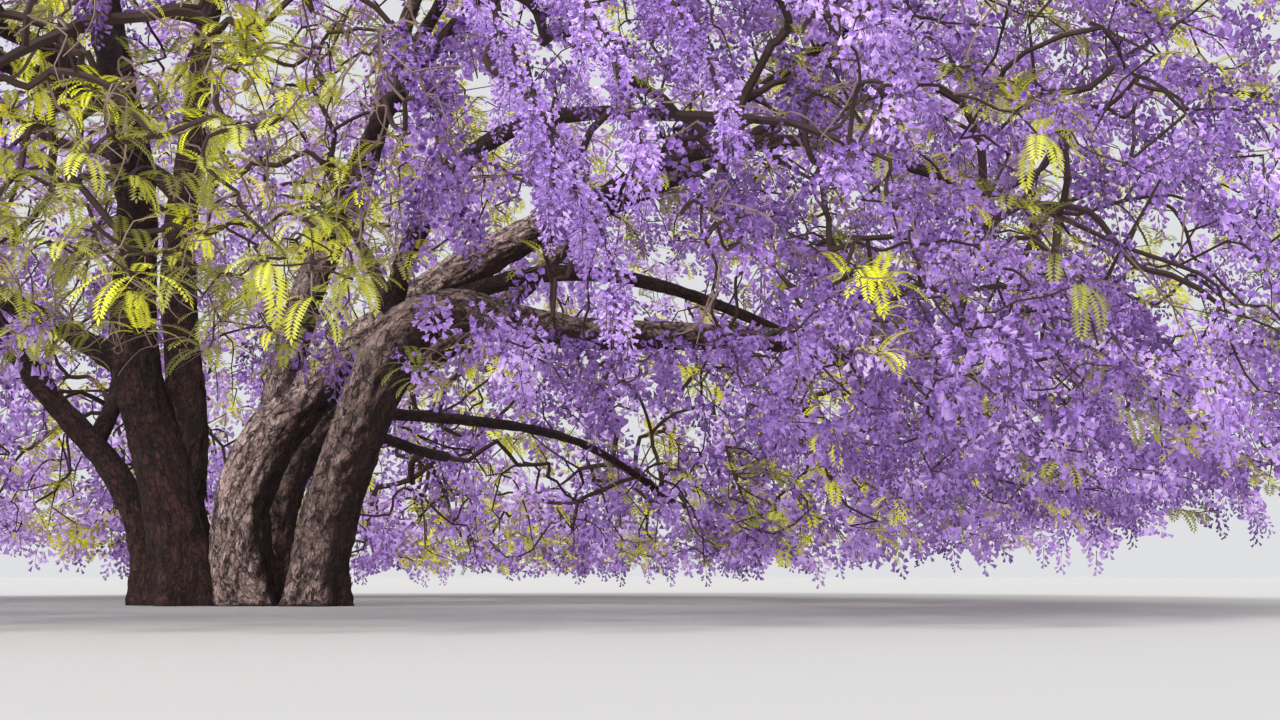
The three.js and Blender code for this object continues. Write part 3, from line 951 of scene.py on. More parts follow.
def feed(material, socket, value):
    """Gives a socket what another one holds, or a plain value."""
    if isinstance(value, bpy.types.NodeSocket):
        material.node_tree.links.new(value, socket)
    else:
        socket.default_value = (*value, 1) if socket.type == "RGBA" else value


def pattern(material, kind, vector, output, **settings):
    """What a node makes of a vector."""
    node = add_node(material, kind, **settings)
    feed(material, node.inputs["Vector"], vector)
    return node.outputs[output]


def ramp(material, source, *stops):
    """A ramp of greys over a value, with its stops as (place, grey)."""
    node = add_node(material, "ShaderNodeValToRGB")
    feed(material, node.inputs["Fac"], source)
    elements = node.color_ramp.elements
    while len(elements) < len(stops):
        elements.new(1.0)
    for element, (place, grey) in zip(elements, stops):
        element.position = place
        element.color = (grey, grey, grey, 1)
    return node.outputs["Color"]


def mixed(material, factor, low, high, blend="MIX", data="RGBA"):
    node = add_node(material, "ShaderNodeMix", data_type=data, blend_type=blend)
    first, second, result = MIX_SOCKETS[data]
    for place, value in ((0, factor), (first, low), (second, high)):
        feed(material, node.inputs[place], value)
    return node.outputs[result]


def multiplied(material, first, second, more=0.0):
    """One value times another, and more."""
    node = add_node(material, "ShaderNodeMath", operation="MULTIPLY_ADD")
    for socket, value in zip(node.inputs, (first, second, more)):
        feed(material, socket, value)
    return node.outputs[0]


def bark_material(colors):
    """Rough purple-brown bark: small broken plates, longer clefts, and grey-pink patches where the sun has
    weathered it."""
    material = plain_material("jacaranda_bark", colors.plates, 0.92)
    make = functools.partial(pattern, material)
    grain = add_node(material, "ShaderNodeAttribute", attribute_name="grain").outputs["Vector"]
    painted_sun = add_node(material, "ShaderNodeAttribute", attribute_name="painted_sun").outputs["Fac"]
    along = make("ShaderNodeMapping", grain, "Vector", vector_type="POINT", Scale=(1, 1, 0.5))
    stir = make("ShaderNodeTexNoise", along, "Color", Scale=18, Detail=4, Roughness=0.6)
    stirred = mixed(material, 0.09, along, stir, data="VECTOR")
    clefts = make("ShaderNodeTexNoise", stirred, "Fac", Scale=10, Detail=3, Roughness=0.55)
    cracks = make("ShaderNodeTexVoronoi", stirred, "Distance", feature="DISTANCE_TO_EDGE", Scale=25)
    plates = make("ShaderNodeTexVoronoi", stirred, "Color", feature="F1", Scale=25)
    fibres = make("ShaderNodeTexNoise", along, "Fac", Scale=60, Detail=7, Roughness=0.72)
    patches = make("ShaderNodeTexNoise", grain, "Fac", Scale=5, Detail=7, Roughness=0.68)
    plate = ramp(material, plates, (0.2, 0), (0.8, 1))
    fibre = ramp(material, fibres, (0.32, 0), (0.68, 1))
    mottle = ramp(material, patches, (0.34, 0), (0.62, 1))
    deep = ramp(material, clefts, (0.45, 1), (0.5, 0), (0.54, 1))
    thin = ramp(material, cracks, (0.0, 0.3), (0.12, 1))
    tone = mixed(material, 0.42, fibre, plate)
    dapple = mixed(material, 0.5, mottle, tone)
    base = mixed(material, tone, colors.shaded, colors.plates)
    base = mixed(material, dapple, colors.shaded, base)
    # Painted sunlight: where the bark faces the sun it is painted paler grey-pink, more on some stems, in
    # patches.
    facing = add_node(material, "ShaderNodeNewGeometry").outputs["Normal"]
    towards = add_node(material, "ShaderNodeVectorMath", operation="DOT_PRODUCT")
    feed(material, towards.inputs[0], facing)
    feed(material, towards.inputs[1], unit(np.array(SUNNY_SIDE)))
    lit = multiplied(material, towards.outputs["Value"], painted_sun)
    lit = multiplied(material, lit, multiplied(material, dapple, 0.7, 0.3))
    painted_sunlight = mixed(material, tone, colors.sunlit_bark, colors.sun_highlight)
    coat = mixed(material, ramp(material, lit, (0.12, 0), (0.85, 1)), base, painted_sunlight)
    coat = mixed(material, deep, colors.fissures, coat)
    coat = mixed(material, 1.0, coat, thin, "MULTIPLY")
    height = multiplied(material, deep, 1.4)
    height = multiplied(material, fibre, 0.6, height)
    height = multiplied(material, thin, 0.8, height)
    bump = add_node(material, "ShaderNodeBump", Strength=0.9, Distance=0.014)
    feed(material, bump.inputs["Height"], height)
    shader = shader_of(material)
    feed(material, shader.inputs["Base Color"], coat)
    feed(material, shader.inputs["Roughness"], ramp(material, fibres, (0.3, 0.97), (0.7, 0.82)))
    feed(material, shader.inputs["Normal"], bump.outputs["Normal"])
    return material


# The sprays pick these tints by tone, so the deeper ones are partly painted shade.
def petal_materials(colors):
    """The violets, from pale to deep, then the stalks."""
    tints = [colors.palest, colors.lilac, colors.violet, colors.deep, colors.shaded]
    names = ["palest", "lilac", "violet", "deep_violet", "shaded_violet"]
    made = [plain_material(f"petal_{name}", tint, 0.55) for name, tint in zip(names, tints)]
    return made + [plain_material("flower_stalk", colors.stalk, 0.7)]


# The sprays pick these tints by tone, so the deeper ones are partly painted shade.
def leaf_materials(colors):
    tints = [colors.lime, colors.fresh, colors.olive, colors.shaded_leaf]
    names = ["lime", "fresh", "olive", "shaded"]
    return [plain_material(f"leaf_{name}", tint, 0.5) for name, tint in zip(names, tints)]


# Bark.

def ridged(spot):
    """Sharp ridges with finer ones on them, about -1 to 1."""
    return sum(share * (1 - RIDGE_SHARPNESS * abs(noise.noise(spot * scale))) for scale, share in RIDGES)


def bark_relief(bark, seed, turns, radius, run):
    """How far each spot of a limb's rings stands out, or in: ridges, on broad lumps."""
    relief = np.zeros((len(radius), len(turns)))
    for i, k in itertools.product(range(len(radius)), range(len(turns))):
        x, y = math.cos(turns[k]) * radius[i], math.sin(turns[k]) * radius[i]
        high = run[i] / bark.ridge_length + RIDGE_SHIFT * seed
        ridge = Vector((x / bark.ridge_width, y / bark.ridge_width, high))
        lump = Vector((x / LUMP_WIDTH, y / LUMP_WIDTH, run[i] / LUMP_LENGTH + LUMP_SHIFT * seed))
        depth = min(bark.relief, radius[i] * RELIEF_SHARE)
        relief[i, k] = depth * ridged(ridge) + LUMP_SHARE * radius[i] * noise.noise(lump)
    return relief


def limb_shell(limb, bark, seed, width, step):
    """A limb as a closed tube with the relief of its bark, and its grain: where each spot is round it and
    along it."""
    rings = max(FEWEST_RINGS, round(limb.length / step))
    share = np.linspace(0, 1, rings)
    line = np.stack([np.interp(share, LIMB_SHARES, limb.line[:, axis]) for axis in range(3)], 1)
    for _ in range(SMOOTHINGS):
        line[1:-1] = (line[:-2] + 2 * line[1:-1] + line[2:]) / 4
    radius, run = radius_on(limb, share), share * limb.length
    sides = max(FEWEST_SIDES, round(2 * math.pi * float(np.median(radius)) / width))
    turns = angles_round(sides)
    tangents = unit(np.gradient(line, axis=0))
    radii = radius[:, None]
    if limb.rooted:
        level = np.clip(run / LEVEL_UNDER, 0, 1)[:, None] ** LEVEL_EASE
        tangents = unit(tangents * level + up(1.0) * (1 - level))
        lobed = swell_on(limb, run) + HIGH_LOBES * np.exp(-run / HIGH_LOBES_HEIGHT)
        radii = radii * (1 + LOBED * lobed[:, None] * np.cos(ROOT_LOBES * turns + LOBE_SHIFT * seed))
    radii = radii + bark_relief(bark, seed, turns, radius, run)
    spots = ring_spots(line, tangents, radii, sides)
    if limb.rooted:
        spots[:, 2] = np.maximum(spots[:, 2], 0)
    grain = np.stack([
        np.cos(turns)[None] * radius[:, None],
        np.sin(turns)[None] * radius[:, None],
        np.repeat(run[:, None], sides, 1) + GRAIN_SHIFT * seed], -1).reshape(-1, 3)
    corners = tube_corners(rings, sides)
    faces = Faces(np.vstack([spots, line[0], line[-1]]), corners, np.zeros(len(corners)))
    return faces, np.vstack([grain, grain[:1], grain[-1:]])


# Sprays.

def placed(faces, spot, direction, size):
    """A copy of some faces with its foot at a spot and its +Z turned to a direction."""
    turn = np.array(Vector((0, 0, 1)).rotation_difference(Vector(direction)).to_matrix())
    return Faces(spot + (faces.spots * size) @ turn.T, faces.corners, faces.slots)


def arc(length, start, end, steps):
    """A line from the origin out along +X, that starts at one rise, in degrees, and bends to another."""
    rises = np.radians(np.linspace(start, end, steps))
    legs = np.stack([np.cos(rises), np.zeros(steps), np.sin(rises)], 1) * length / steps
    return np.vstack([np.zeros(3), np.cumsum(legs, axis=0)])


def on_line(line, share):
    """The spot at a share of the way along a line of equal steps, and the line's direction there."""
    step = min(int(share * (len(line) - 1)), len(line) - 2)
    along = line[step + 1] - line[step]
    return line[step] + along * (share * (len(line) - 1) - step), unit(along)


def circle(sides, width, height, first=0.0):
    turns = angles_round(sides, first)
    return np.stack([np.cos(turns) * width / 2, np.sin(turns) * width / 2, np.full(sides, height)], 1)


def bell(length, width, sides, kind):
    """A flower's tube, which widens to its mouth."""
    around = np.arange(sides)
    walls = np.stack([np.zeros(sides, int), 1 + around, 1 + (around + 1) % sides], 1)
    return Faces(np.vstack([np.zeros(3), circle(sides, width, length)]), walls, np.full(sides, kind))


def with_lobes(throat, length, width):
    """An open flower: its tube with a blunt lobe on each side of its mouth."""
    sides = len(throat.corners)
    around = np.arange(sides)
    tips = np.stack([1 + around, 1 + sides + around, 1 + (around + 1) % sides], 1)
    spots = np.concatenate([throat.spots, circle(sides, width, length, 0.5)])
    return Faces(spots, np.concatenate([throat.corners, tips]), np.full(2 * sides, LOBE))


def flat(spots, corners, kind):
    """A few loose faces of one kind."""
    return Faces(np.stack(spots), np.array(corners), np.full(len(corners), kind))


def ribbon(line, half, kind):
    """A thin flat stalk of two faces, by way of the middle of a line."""
    rib, middle = np.array([0, half, 0]), line[len(line) // 2]
    spots = [line[0] - rib, line[0] + rib, middle, middle - rib, middle + rib, line[-1]]
    return flat(spots, [(0, 1, 2), (3, 4, 5)], kind)


def flowers_of(bloom, grade):
    """The open flower, the closed one and the bud of a grade, and how many a spray has."""
    swell = (1, bloom.swell, bloom.far_swell, bloom.unseen_swell)[grade]
    length, width = bloom.flower_length * swell, bloom.flower_width * swell
    kinds = [bell(length * tall, width * wide, sides, kind) for tall, wide, sides, kind in FLOWERS[grade]]
    if grade == NEAR:
        kinds[0] = with_lobes(kinds[0], length, width)
    return kinds, round(bloom.flowers / swell ** THINNING)


def panicle(bloom, grade, start, end, rng):
    """A spray that reaches out along +X: open flowers from its foot on, then closed ones, then buds."""
    kinds, count = flowers_of(bloom, grade)
    axis = arc(bloom.panicle_length, start, end, PANICLE_STEPS)
    near = grade == NEAR
    beside = np.array([0, 1.0, 0])
    stages = [bloom.open_share, bloom.open_share + bloom.closed_share]
    parts = [tube(axis[::3], AXIS_RADII, 3, STALK) if near else ribbon(axis, AXIS_HALF, STALK)]
    for i in range(count):
        share = FLOWERS_FROM + (1 - FLOWERS_FROM) * (i + 0.5) / count
        spot, onward = on_line(axis, share)
        turn = i * GOLDEN_TURN + rng.normal(0, TURN_STRAY)
        around = beside * math.cos(turn) + np.cross(onward, beside) * math.sin(turn)
        stalk = bloom.panicle_width / 2 * (STALK_TAPER - share) * rng.uniform(*STALK_SHARES)
        foot = spot + (around + up(STALK_DROOP)) * stalk
        faces = around * FACE_OUT + onward * FACE_ONWARD + up(FACE_DOWN) + rng.normal(0, FACE_STRAY, 3)
        size = (FLOWER_TAPER[0] - FLOWER_TAPER[1] * share) * rng.uniform(*FLOWER_SIZES)
        parts.append(placed(kinds[int(np.searchsorted(stages, share))], foot, unit(faces), size))
        if near and stalk > STALK_SHOWS:
            wide = onward * STALK_HALF
            parts.append(flat([spot - wide, spot + wide, foot], [(0, 1, 2)], STALK))
    return joined(parts)


def kite(foot, out, wide, length, width):
    """A pointed leaflet of two faces."""
    middle, half = foot + out * length * WIDEST_SHARE, wide * width / 2
    return flat([foot, middle - half, foot + out * length, middle + half], [(0, 1, 2), (0, 2, 3)], 0)


def frond(leaf, grade, start, end):
    """A feathery leaf that reaches out along +X, with pairs of pointed leaflets on its rib."""
    swell = (1, leaf.swell, leaf.far_swell, leaf.far_swell)[grade]
    pairs = round(leaf.pairs / swell)
    axis = arc(leaf.frond_length, start, end, LEAF_STEPS)
    rib = np.array([0, RIB_HALF, 0])
    parts = [flat([axis[0] - rib, axis[0] + rib, axis[-1]], [(0, 1, 2)], 0)]
    for i in range(pairs):
        share = LEAFLETS_FROM + LEAFLETS_SPAN * (i + 0.5) / pairs
        foot, onward = on_line(axis, share)
        arch = math.sin(math.pi * (LEAFLET_ARCH[0] + LEAFLET_ARCH[1] * share)) ** LEAFLET_EASE
        length = leaf.leaflet_length * swell ** 0.5 * arch
        for side in (-1, 1):
            out = unit(onward * LEAFLET_AHEAD + np.array([0, side, LEAFLET_DOWN]))
            parts.append(kite(foot, out, onward, length, leaf.leaflet_width * swell))
    tip, onward = on_line(axis, END_LEAFLET_AT)
    length = leaf.leaflet_length * END_LEAFLET
    parts.append(kite(tip, onward, np.array([0, 1.0, 0]), length, leaf.leaflet_width))
    return joined(parts)


def scattered(form, rows, slot_of):
    """Copies of one form: each row says where, its bearing, its tilt, its size and its tint."""
    spots, yaw, tilt, size, tint = rows[:, :3], rows[:, 3], rows[:, 4], rows[:, 5], rows[:, 6].astype(int)
    cy, sy, ct, st = np.cos(yaw), np.sin(yaw), np.cos(tilt), np.sin(tilt)
    none = np.zeros_like(cy)
    turn = np.stack([cy * ct, -sy, -cy * st, sy * ct, cy, -sy * st, st, none, ct], 1).reshape(-1, 3, 3)
    copies = spots[:, None] + size[:, None, None] * np.einsum("nij,vj->nvi", turn, form.spots)
    offsets = (np.arange(len(rows)) * len(form.spots))[:, None, None]
    corners = (form.corners[None] + offsets).reshape(-1, 3)
    return Faces(copies.reshape(-1, 3), corners, slot_of(tint[:, None], form.slots[None]).ravel())


def noise_at(spots, scale, shift=Vector((0, 0, 0))):
    return np.array([noise.noise(Vector(spot) * scale + shift) for spot in spots])


def leafiness(spots):
    """How much leaf there is among the blossom: most low on the leafy side, some all over, in patches."""
    away = (side_of(spots) - LEAFY_SIDE + math.pi) % (2 * math.pi) - math.pi
    lower = np.clip((LEAFY_BELOW - spots[:, 2]) / LEAFY_EASE, 0, 1)
    share = LEAFY_SHARE + LEAFY_AT_BACK * np.sin(side_of(spots))
    share = share + LEAFY_PATCHES * noise_at(spots, LEAFY_PATCH_SCALE)
    return np.clip(share + LEAFY_IN_FRONT * np.exp(-(away / LEAFY_SPREAD) ** 4) * lower, *LEAFY_LIMITS)


def grades_of(spots):
    """The grade of the sprays that hang at some spots."""
    aside, ahead, over = (spots - np.array(CAMERA)).T
    depth = ahead * math.cos(CAMERA_RISE) + over * math.sin(CAMERA_RISE)
    up = over * math.cos(CAMERA_RISE) - ahead * math.sin(CAMERA_RISE)
    seen = (np.abs(aside) < VIEW_ASIDE * depth) & (up < VIEW_UP * depth)
    return np.where(seen, np.searchsorted(GRADE_DEPTHS, depth), UNSEEN)


def spray_rows(mass, twigs, forms, tints, spread):
    """Where a mass's sprays hang, and how: the form, the place, the bearing, the tilt, the size and the
    tint of each, and its strand's luck. A strand bears leaves where that is less than the leafiness, and
    a garland's is never under 1. Tassels are of the last form, small and pale."""
    rng = np.random.default_rng(SPRAY_SEED + list(CENTRES).index(mass))
    strand_luck, strand_tone = rng.random(len(twigs.at)), rng.normal(0, STRAND_TONE, len(twigs.at))
    bears = np.array(twigs.bears)
    chosen = (bears == SPRAY) | (bears == TASSEL)
    spots, strands = np.array(twigs.at)[chosen], np.array(twigs.strands)[chosen]
    hung, count = bears[chosen] == TASSEL, len(spots)
    yaw = side_of(spots) + rng.normal(0, spread, count)
    tilt = rng.normal(0, SPRAY_TILT, count)
    size = rng.uniform(*SPRAY_SIZES, count) * (1 - TASSEL_SHRINKS * hung)
    size = np.minimum(size, (spots[:, 2] - OVER_GROUND) / LONGEST_DROP)
    # Painted shade: the tint deepens towards the crown's heart, on the side away from the sun and behind
    # the garlands.
    depth = (DEEPER_WITHIN - crown_share(spots)) * PAINTED_SHADE_INSIDE
    depth = depth + PAINTED_SHADE_AWAY * np.cos(side_of(spots) - SHADY_SIDE) + PAINTED_SHADE_BEHIND.get(mass, 0)
    tone = MEAN_TONE + depth + noise_at(spots, TONE_PATCH_SCALE, TONE_PATCH_SHIFT) * TONE_PATCHES
    tone = tone + strand_tone[strands] + rng.normal(0, SPRAY_TONE, count)
    # Painted light: tassels are painted some steps paler.
    tint = np.clip(np.floor(tone * tints) - TASSEL_PAINTED_LIGHT * hung, 0, tints - 1)
    form = np.where(hung, forms - 1, rng.integers(0, forms, count))
    return form, np.column_stack([spots, yaw, tilt, size, tint]), strand_luck[strands] + hung


# Twigs.

def twig_chains(twigs, limb_radius, sizes):
    """The twigs as lines, each from the knot where it branches off to its tip, following the heaviest
    way, with the radius at each of its knots."""
    count = len(twigs.at)
    load = LOADS[twigs.bears]
    following = [[] for _ in range(count)]
    for k in range(count - 1, 0, -1):
        if twigs.back[k] != k and load[k] > 0:
            load[twigs.back[k]] += load[k]
            following[twigs.back[k]].append(k)
    starts = [[k] for k in range(count) if twigs.back[k] == k]
    while starts:
        chain = starts.pop()
        while following[chain[-1]]:
            onward = sorted(following[chain[-1]], key=lambda k: -load[k])
            starts += [[chain[-1], k] for k in onward[1:]]
            chain.append(onward[0])
            following[chain[-2]] = []
        if len(chain) < 2:
            continue
        radii = np.minimum(sizes.tip_radius * load[chain] ** sizes.taper, limb_radius)
        radii[0] = limb_radius if chain[0] == 0 else radii[1] * JOIN_SWELL
        radii[-1] = sizes.tip_radius * TIP_SHARE
        yield np.array(twigs.at)[chain], radii


def twig_faces(mass, twigs, sizes):
    """Tubes along a mass's twigs: smooth where they are stout or near the camera, and pale where thin."""
    for points, radii in twig_chains(twigs, limb_of(mass).radii[-1], sizes):
        stout, slot = radii[0] > sizes.stout, 0 if radii[0] > sizes.thin else 1
        if stout or mass in NEAREST:
            points, radii = through(points, radii, SMOOTH_STEPS)
        yield tube(points, radii, STOUT_SIDES if stout else THIN_SIDES, slot)


# Settings.

def colour_of(name, description, *screen):
    return FloatVectorProperty(name=name, description=description, subtype="COLOR", size=3, min=0, max=1,
                               default=paint(*screen))


def number_of(name, description, default, **more):
    return FloatProperty(name=name, description=description, default=default, **more)


def length_of(name, description, default):
    return number_of(name, description, default, min=0, unit="LENGTH")


def share_of(name, description, default):
    return number_of(name, description, default, min=0, max=1, subtype="FACTOR")


def count_of(name, description, default, least=1):
    return IntProperty(name=name, description=description, default=default, min=least)


def direction_of(name, description, default):
    return FloatVectorProperty(name=name, description=description, size=3, default=default,
                               subtype="DIRECTION")


class BarkSettings(bpy.types.PropertyGroup):
    """Relief and colours of the bark."""
    relief: length_of("Relief", "How far the ridges stand out", 0.02)
    ridge_width: length_of("Ridge width", "From one ridge to the next", 0.05)
    ridge_length: length_of("Ridge length", "How long a ridge runs along its limb", 0.3)
    fissures: colour_of("Fissures", "Colour in the clefts", 32, 17, 15)
    shaded: colour_of("Dark plates", "Colour of the darkest plates", 46, 25, 22)
    plates: colour_of("Plates", "Colour of the palest plates", 101, 63, 55)
    # Painted sunlight: the colours that the side facing the sun is painted with.
    sunlit_bark: colour_of("Sunlight", "Colour of the sunny side", 186, 147, 136)
    sun_highlight: colour_of("Highlight", "Palest plates of the sunny side", 240, 214, 203)


class TwigSettings(bpy.types.PropertyGroup):
    """Sizes and colours of the twigs."""
    tip_radius: length_of("Tip radius", "Radius of a twig that bears one spray", 0.0052)
    taper: number_of("Taper", "How fast a twig thickens with what it bears", 0.37)
    stout: length_of("Stout", "Radius over which a twig is round and smooth", 0.016)
    thin: length_of("Thin", "Radius under which a twig is pale", 0.0095)
    shaded: colour_of("Shaded", "Colour of the thicker twigs", 62, 44, 40)
    pale: colour_of("Pale", "Colour of the thin twigs", 132, 112, 101)


class BlossomSettings(bpy.types.PropertyGroup):
    """Numbers, sizes and colours of the blossom."""
    sprays: count_of("Sprays", "Finer twigs in each mass", 320)
    flowers: count_of("Flowers", "Flowers in each of the nearest sprays", 54, 3)
    open_share: share_of("Open", "Share of the flowers that are open", 0.36)
    closed_share: share_of("Closed", "Share of the flowers that aren't open yet", 0.36)
    swell: number_of("Swell", "How much larger the flowers are farther off", 1.3, min=1)
    far_swell: number_of("Far swell", "How much larger the farthest flowers are", 2.0, min=1)
    unseen_swell: number_of("Unseen swell", "How much larger the flowers outside the photograph are", 2.7,
                            min=1)
    panicle_length: length_of("Spray length", "From its foot to its tip", 0.4)
    panicle_width: length_of("Spray width", "Across its flowers' feet", 0.17)
    flower_length: length_of("Flower length", "From its foot to its lobes", 0.044)
    flower_width: length_of("Flower width", "Across its mouth", 0.041)
    palest: colour_of("Palest", "Lightest petals", 231, 202, 252)
    lilac: colour_of("Lilac", "Light petals", 204, 167, 236)
    violet: colour_of("Violet", "Most petals", 175, 136, 210)
    deep: colour_of("Deep violet", "Dark petals", 145, 106, 178)
    shaded: colour_of("Shaded violet", "Darkest petals", 111, 77, 141)
    stalk: colour_of("Stalk", "Stalks of the flowers", 92, 70, 84)


class LeafSettings(bpy.types.PropertyGroup):
    """Sizes and colours of the leaves."""
    frond_length: length_of("Leaf length", "Along a leaf's rib", 0.25)
    leaflet_length: length_of("Leaflet length", "The longest leaflet", 0.053)
    leaflet_width: length_of("Leaflet width", "Across a leaflet", 0.0145)
    pairs: count_of("Pairs", "Pairs of leaflets on the nearest leaves", 14)
    swell: number_of("Swell", "How much larger the leaflets are farther off", 1.6, min=1)
    far_swell: number_of("Far swell", "How much larger the farthest leaflets are", 2.8, min=1)
    fronds: count_of("Leaves", "Leaves in each of the nearest sprays", 5, 4)
    lime: colour_of("Lime", "Sunlit young leaf", 252, 252, 62)
    fresh: colour_of("Fresh", "Young leaf", 240, 240, 64)
    olive: colour_of("Olive", "Older leaf", 208, 208, 74)
    shaded_leaf: colour_of("Shaded leaf", "Leaf deep in the crown", 154, 154, 64)


class StageSettings(bpy.types.PropertyGroup):
    """The floor, the light and the camera."""
    floor: colour_of("Floor", "Colour of the floor", 196, 195, 192)
    sky: colour_of("Backdrop", "Colour behind the tree", 236, 237, 240)
    sky_light: number_of("Soft light", "Strength of the light from all round", 0.88)
    fill_light: number_of("Fill light", "Strength of the lamp that reaches under the crown", 1.5)
    fill_from: direction_of("Fill from", "Where the fill shines from", (-0.5, -1, 0.35))
    key_light: number_of("Key light", "Strength of the soft lamp", 2.0)
    key_spread: number_of("Spread", "Width of the soft lamp", math.radians(14), subtype="ANGLE")
    key_from: direction_of("Key from", "Where the lamp shines from", (-0.42, -0.5, 0.85))
    camera_at: FloatVectorProperty(name="Camera", description="Where the camera stands", size=3,
                                   default=CAMERA, subtype="XYZ", unit="LENGTH")
    camera_rise: number_of("Rise", "How far the camera looks up", CAMERA_RISE, subtype="ANGLE")
    lens: number_of("Lens", "Focal length in millimetres on a 36 mm frame", 50)


SETTINGS = {
    "jacaranda_bark": BarkSettings,
    "jacaranda_twigs": TwigSettings,
    "jacaranda_blossom": BlossomSettings,
    "jacaranda_leaves": LeafSettings,
    "jacaranda_stage": StageSettings,
}


# Operators.

def limb_piece(name, limbs, nodes, bark, material, face):
    """One piece of bark for several limbs."""
    shells = [limb_shell(LIMBS[limb], bark, seed, *face) for seed, limb in enumerate(limbs)]
    piece = mesh_object(name, joined([faces for faces, _ in shells]), [material], smooth=True)
    grains = [grain for _, grain in shells]
    # How much painted sunlight each limb's bark gets.
    painted_sun = [np.full(len(grain), PAINTED_SUN.get(limb, PAINTED_SUN_ELSEWHERE)) for limb, grain in zip(limbs, grains)]
    add_values(piece, "grain", "FLOAT_VECTOR", "vector", grains)
    add_values(piece, "painted_sun", "FLOAT", "value", painted_sun)
    hand_over(piece, nodes)


def foliage_pieces(kind, materials, parts_of):
    """A piece of one kind for each quarter of the crown, from what parts_of gives for each mass in it."""
    for quarter, masses in QUARTERS.items():
        parts = [part for mass in masses for part in parts_of(mass)]
        piece = mesh_object(f"{kind}_{quarter}", joined(parts), materials)
        hand_over(piece, [f"foliage_{mass}" for mass in masses])


class JACARANDA_OT_bark(bpy.types.Operator):
    """Cover the stems and the boughs with ridged bark"""
    bl_idname = "jacaranda.bark"
    bl_label = "Stems and Boughs"

    def execute(self, context):
        bark = context.scene.jacaranda_bark
        material = bark_material(bark)
        limb_piece("stems", STEMS, STEM_NODES, bark, material, STEM_FACE)
        limb_piece("boughs", BOUGHS, [f"bough_{mass}" for mass in BOUGHS], bark, material, BOUGH_FACE)
        return {"FINISHED"}


class JACARANDA_OT_twigs(bpy.types.Operator):
    """Grow the twigs of every mass on from the limbs' tips"""
    bl_idname = "jacaranda.twigs"
    bl_label = "Twigs"

    def execute(self, context):
        sizes = context.scene.jacaranda_twigs
        crown = grown_crown(context.scene.jacaranda_blossom.sprays)
        shaded = plain_material("twig_shaded", sizes.shaded, 0.85)
        pale = plain_material("twig_pale", sizes.pale, 0.8)
        foliage_pieces("twigs", [shaded, pale], lambda mass: twig_faces(mass, crown[mass], sizes))
        return {"FINISHED"}


class JACARANDA_OT_blossom(bpy.types.Operator):
    """Hang a panicle of trumpets on every finer twig that isn't leafy"""
    bl_idname = "jacaranda.blossom"
    bl_label = "Blossom"

    def execute(self, context):
        bloom = context.scene.jacaranda_blossom
        crown = grown_crown(bloom.sprays)
        materials = petal_materials(bloom)
        rng = np.random.default_rng(BLOSSOM_SEED)
        forms = [[panicle(bloom, grade, *bend, rng) for bend in PANICLE_BENDS] for grade in GRADES]
        deepest = len(materials) - 2

        def slot_of(tint, kind):
            return np.where(kind == STALK, deepest + 1, np.minimum(tint + kind, deepest))

        def panicles(mass):
            form, rows, luck = spray_rows(mass, crown[mass], len(PANICLE_BENDS), deepest, BLOSSOM_SPREAD)
            blooms = luck > leafiness(rows[:, :3]) * BOTH
            grades = grades_of(rows[:, :3])
            for grade, k in itertools.product(GRADES, range(len(PANICLE_BENDS))):
                chosen = rows[blooms & (form == k) & (grades == grade)]
                yield scattered(forms[grade][k], chosen, slot_of)

        foliage_pieces("blossom", materials, panicles)
        return {"FINISHED"}


class JACARANDA_OT_leaves(bpy.types.Operator):
    """Fan feathery leaves from the leafy twigs"""
    bl_idname = "jacaranda.leaves"
    bl_label = "Leaves"

    def execute(self, context):
        leaf = context.scene.jacaranda_leaves
        crown = grown_crown(context.scene.jacaranda_blossom.sprays)
        materials = leaf_materials(leaf)
        forms = [[frond(leaf, grade, *bend) for bend in LEAF_BENDS] for grade in GRADES]
        rng = np.random.default_rng(LEAF_SEED)

        def fronds(mass):
            _, rows, luck = spray_rows(mass, crown[mass], len(LEAF_BENDS), len(materials), LEAF_SPREAD)
            leafy = rows[luck < leafiness(rows[:, :3])]
            grades = grades_of(leafy[:, :3])
            for grade in GRADES:
                count = leaf.fronds - grade
                for k in range(count):
                    fan = leafy[grades == grade]
                    fan[:, 3] += (k - (count - 1) / 2) * FAN_STEP + rng.normal(0, FAN_STRAY, len(fan))
                    fan[:, 5] *= rng.uniform(*FAN_SIZES, len(fan))
                    yield scattered(forms[grade][k % len(LEAF_BENDS)], fan, np.add)

        foliage_pieces("leaves", materials, fronds)
        return {"FINISHED"}


def add_lamp(name, energy, spread, shines_from):
    lamp = bpy.data.lights.new(name, "SUN")
    lamp.energy = energy
    lamp.angle = spread
    add_object(name, lamp).rotation_euler = Vector(shines_from).to_track_quat("Z", "Y").to_euler()
    return lamp


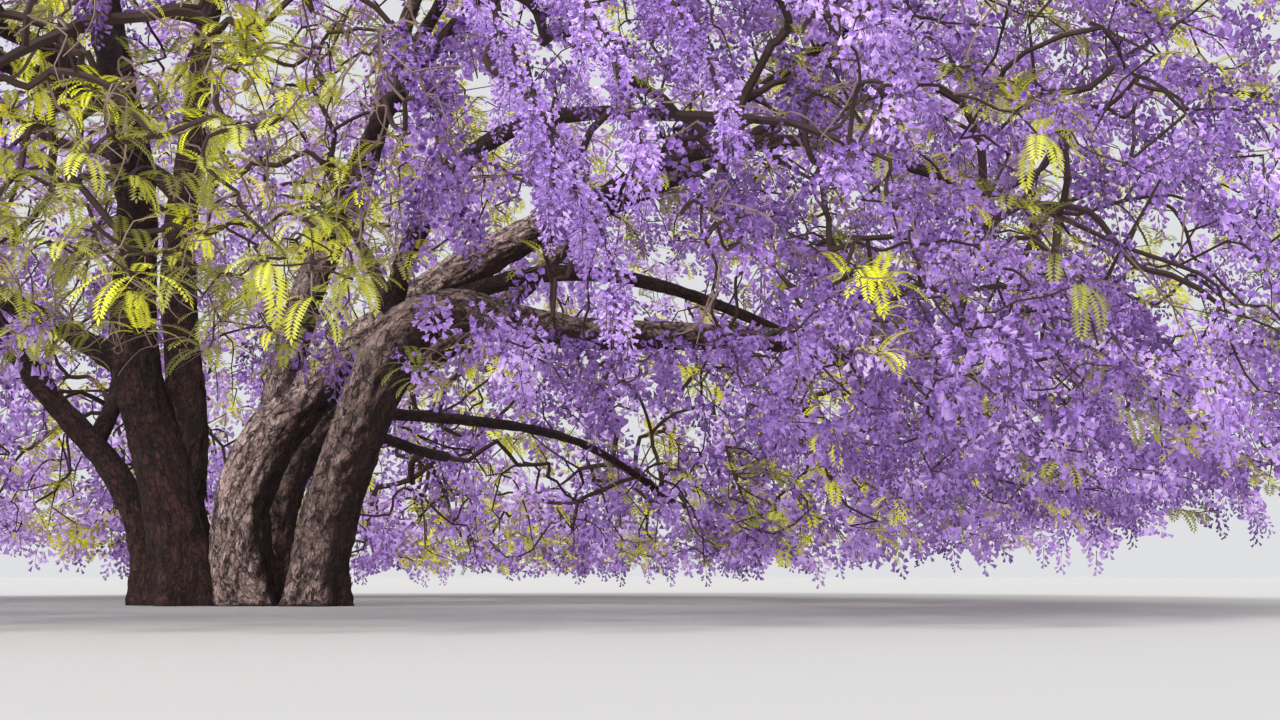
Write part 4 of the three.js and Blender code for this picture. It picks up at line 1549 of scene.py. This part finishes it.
class JACARANDA_OT_stage(bpy.types.Operator):
    """Set the pale floor, the soft light and the camera"""
    bl_idname = "jacaranda.stage"
    bl_label = "Floor, Light and Camera"

    def execute(self, context):
        stage = context.scene.jacaranda_stage
        bpy.ops.mesh.primitive_plane_add(size=FLOOR_WIDTH)
        floor = context.object
        floor.name = "floor"
        floor.data.materials.append(plain_material("pale_floor", stage.floor, 0.9))
        world = bpy.data.worlds.new("pale_backdrop")
        context.scene.world = world
        world.use_nodes = True
        background = world.node_tree.nodes["Background"]
        background.inputs["Color"].default_value = (*stage.sky, 1)
        background.inputs["Strength"].default_value = stage.sky_light
        add_lamp("soft_key", stage.key_light, stage.key_spread, stage.key_from)
        fill = add_lamp("soft_fill", stage.fill_light, stage.key_spread, stage.fill_from)
        fill.use_shadow = False
        lens = bpy.data.cameras.new("camera")
        lens.lens = stage.lens
        lens.sensor_width = FRAME_WIDTH
        lens.clip_end = CAMERA_SEES
        camera = add_object("camera", lens)
        camera.location = stage.camera_at
        camera.rotation_euler = (math.pi / 2 + stage.camera_rise, 0, 0)
        context.scene.camera = camera
        context.scene.view_settings.view_transform = "Standard"
        return {"FINISHED"}


OPERATORS = [
    JACARANDA_OT_stage,
    JACARANDA_OT_bark,
    JACARANDA_OT_twigs,
    JACARANDA_OT_blossom,
    JACARANDA_OT_leaves,
]


class JACARANDA_PT_sidebar(bpy.types.Panel):
    """Every step of the jacaranda, with its settings"""
    bl_label = "Jacaranda"
    bl_space_type = "VIEW_3D"
    bl_region_type = "UI"
    bl_category = "Jacaranda"

    def draw(self, context):
        for operator in OPERATORS:
            self.layout.operator(operator.bl_idname)
        for name, group in SETTINGS.items():
            column = self.layout.column(heading=group.__doc__)
            for setting in group.__annotations__:
                column.prop(getattr(context.scene, name), setting)


def register():
    for cls in [*SETTINGS.values(), *OPERATORS, JACARANDA_PT_sidebar]:
        bpy.utils.register_class(cls)
    for name, group in SETTINGS.items():
        setattr(bpy.types.Scene, name, PointerProperty(type=group))


def unregister():
    for name in SETTINGS:
        delattr(bpy.types.Scene, name)
    for cls in [JACARANDA_PT_sidebar, *reversed(OPERATORS), *reversed(SETTINGS.values())]:
        bpy.utils.unregister_class(cls)


def main():
    register()
    bpy.ops.jacaranda.stage()
    bpy.ops.jacaranda.bark()
    bpy.ops.jacaranda.twigs()
    bpy.ops.jacaranda.blossom()
    bpy.ops.jacaranda.leaves()


if __name__ == "__main__":
    main()
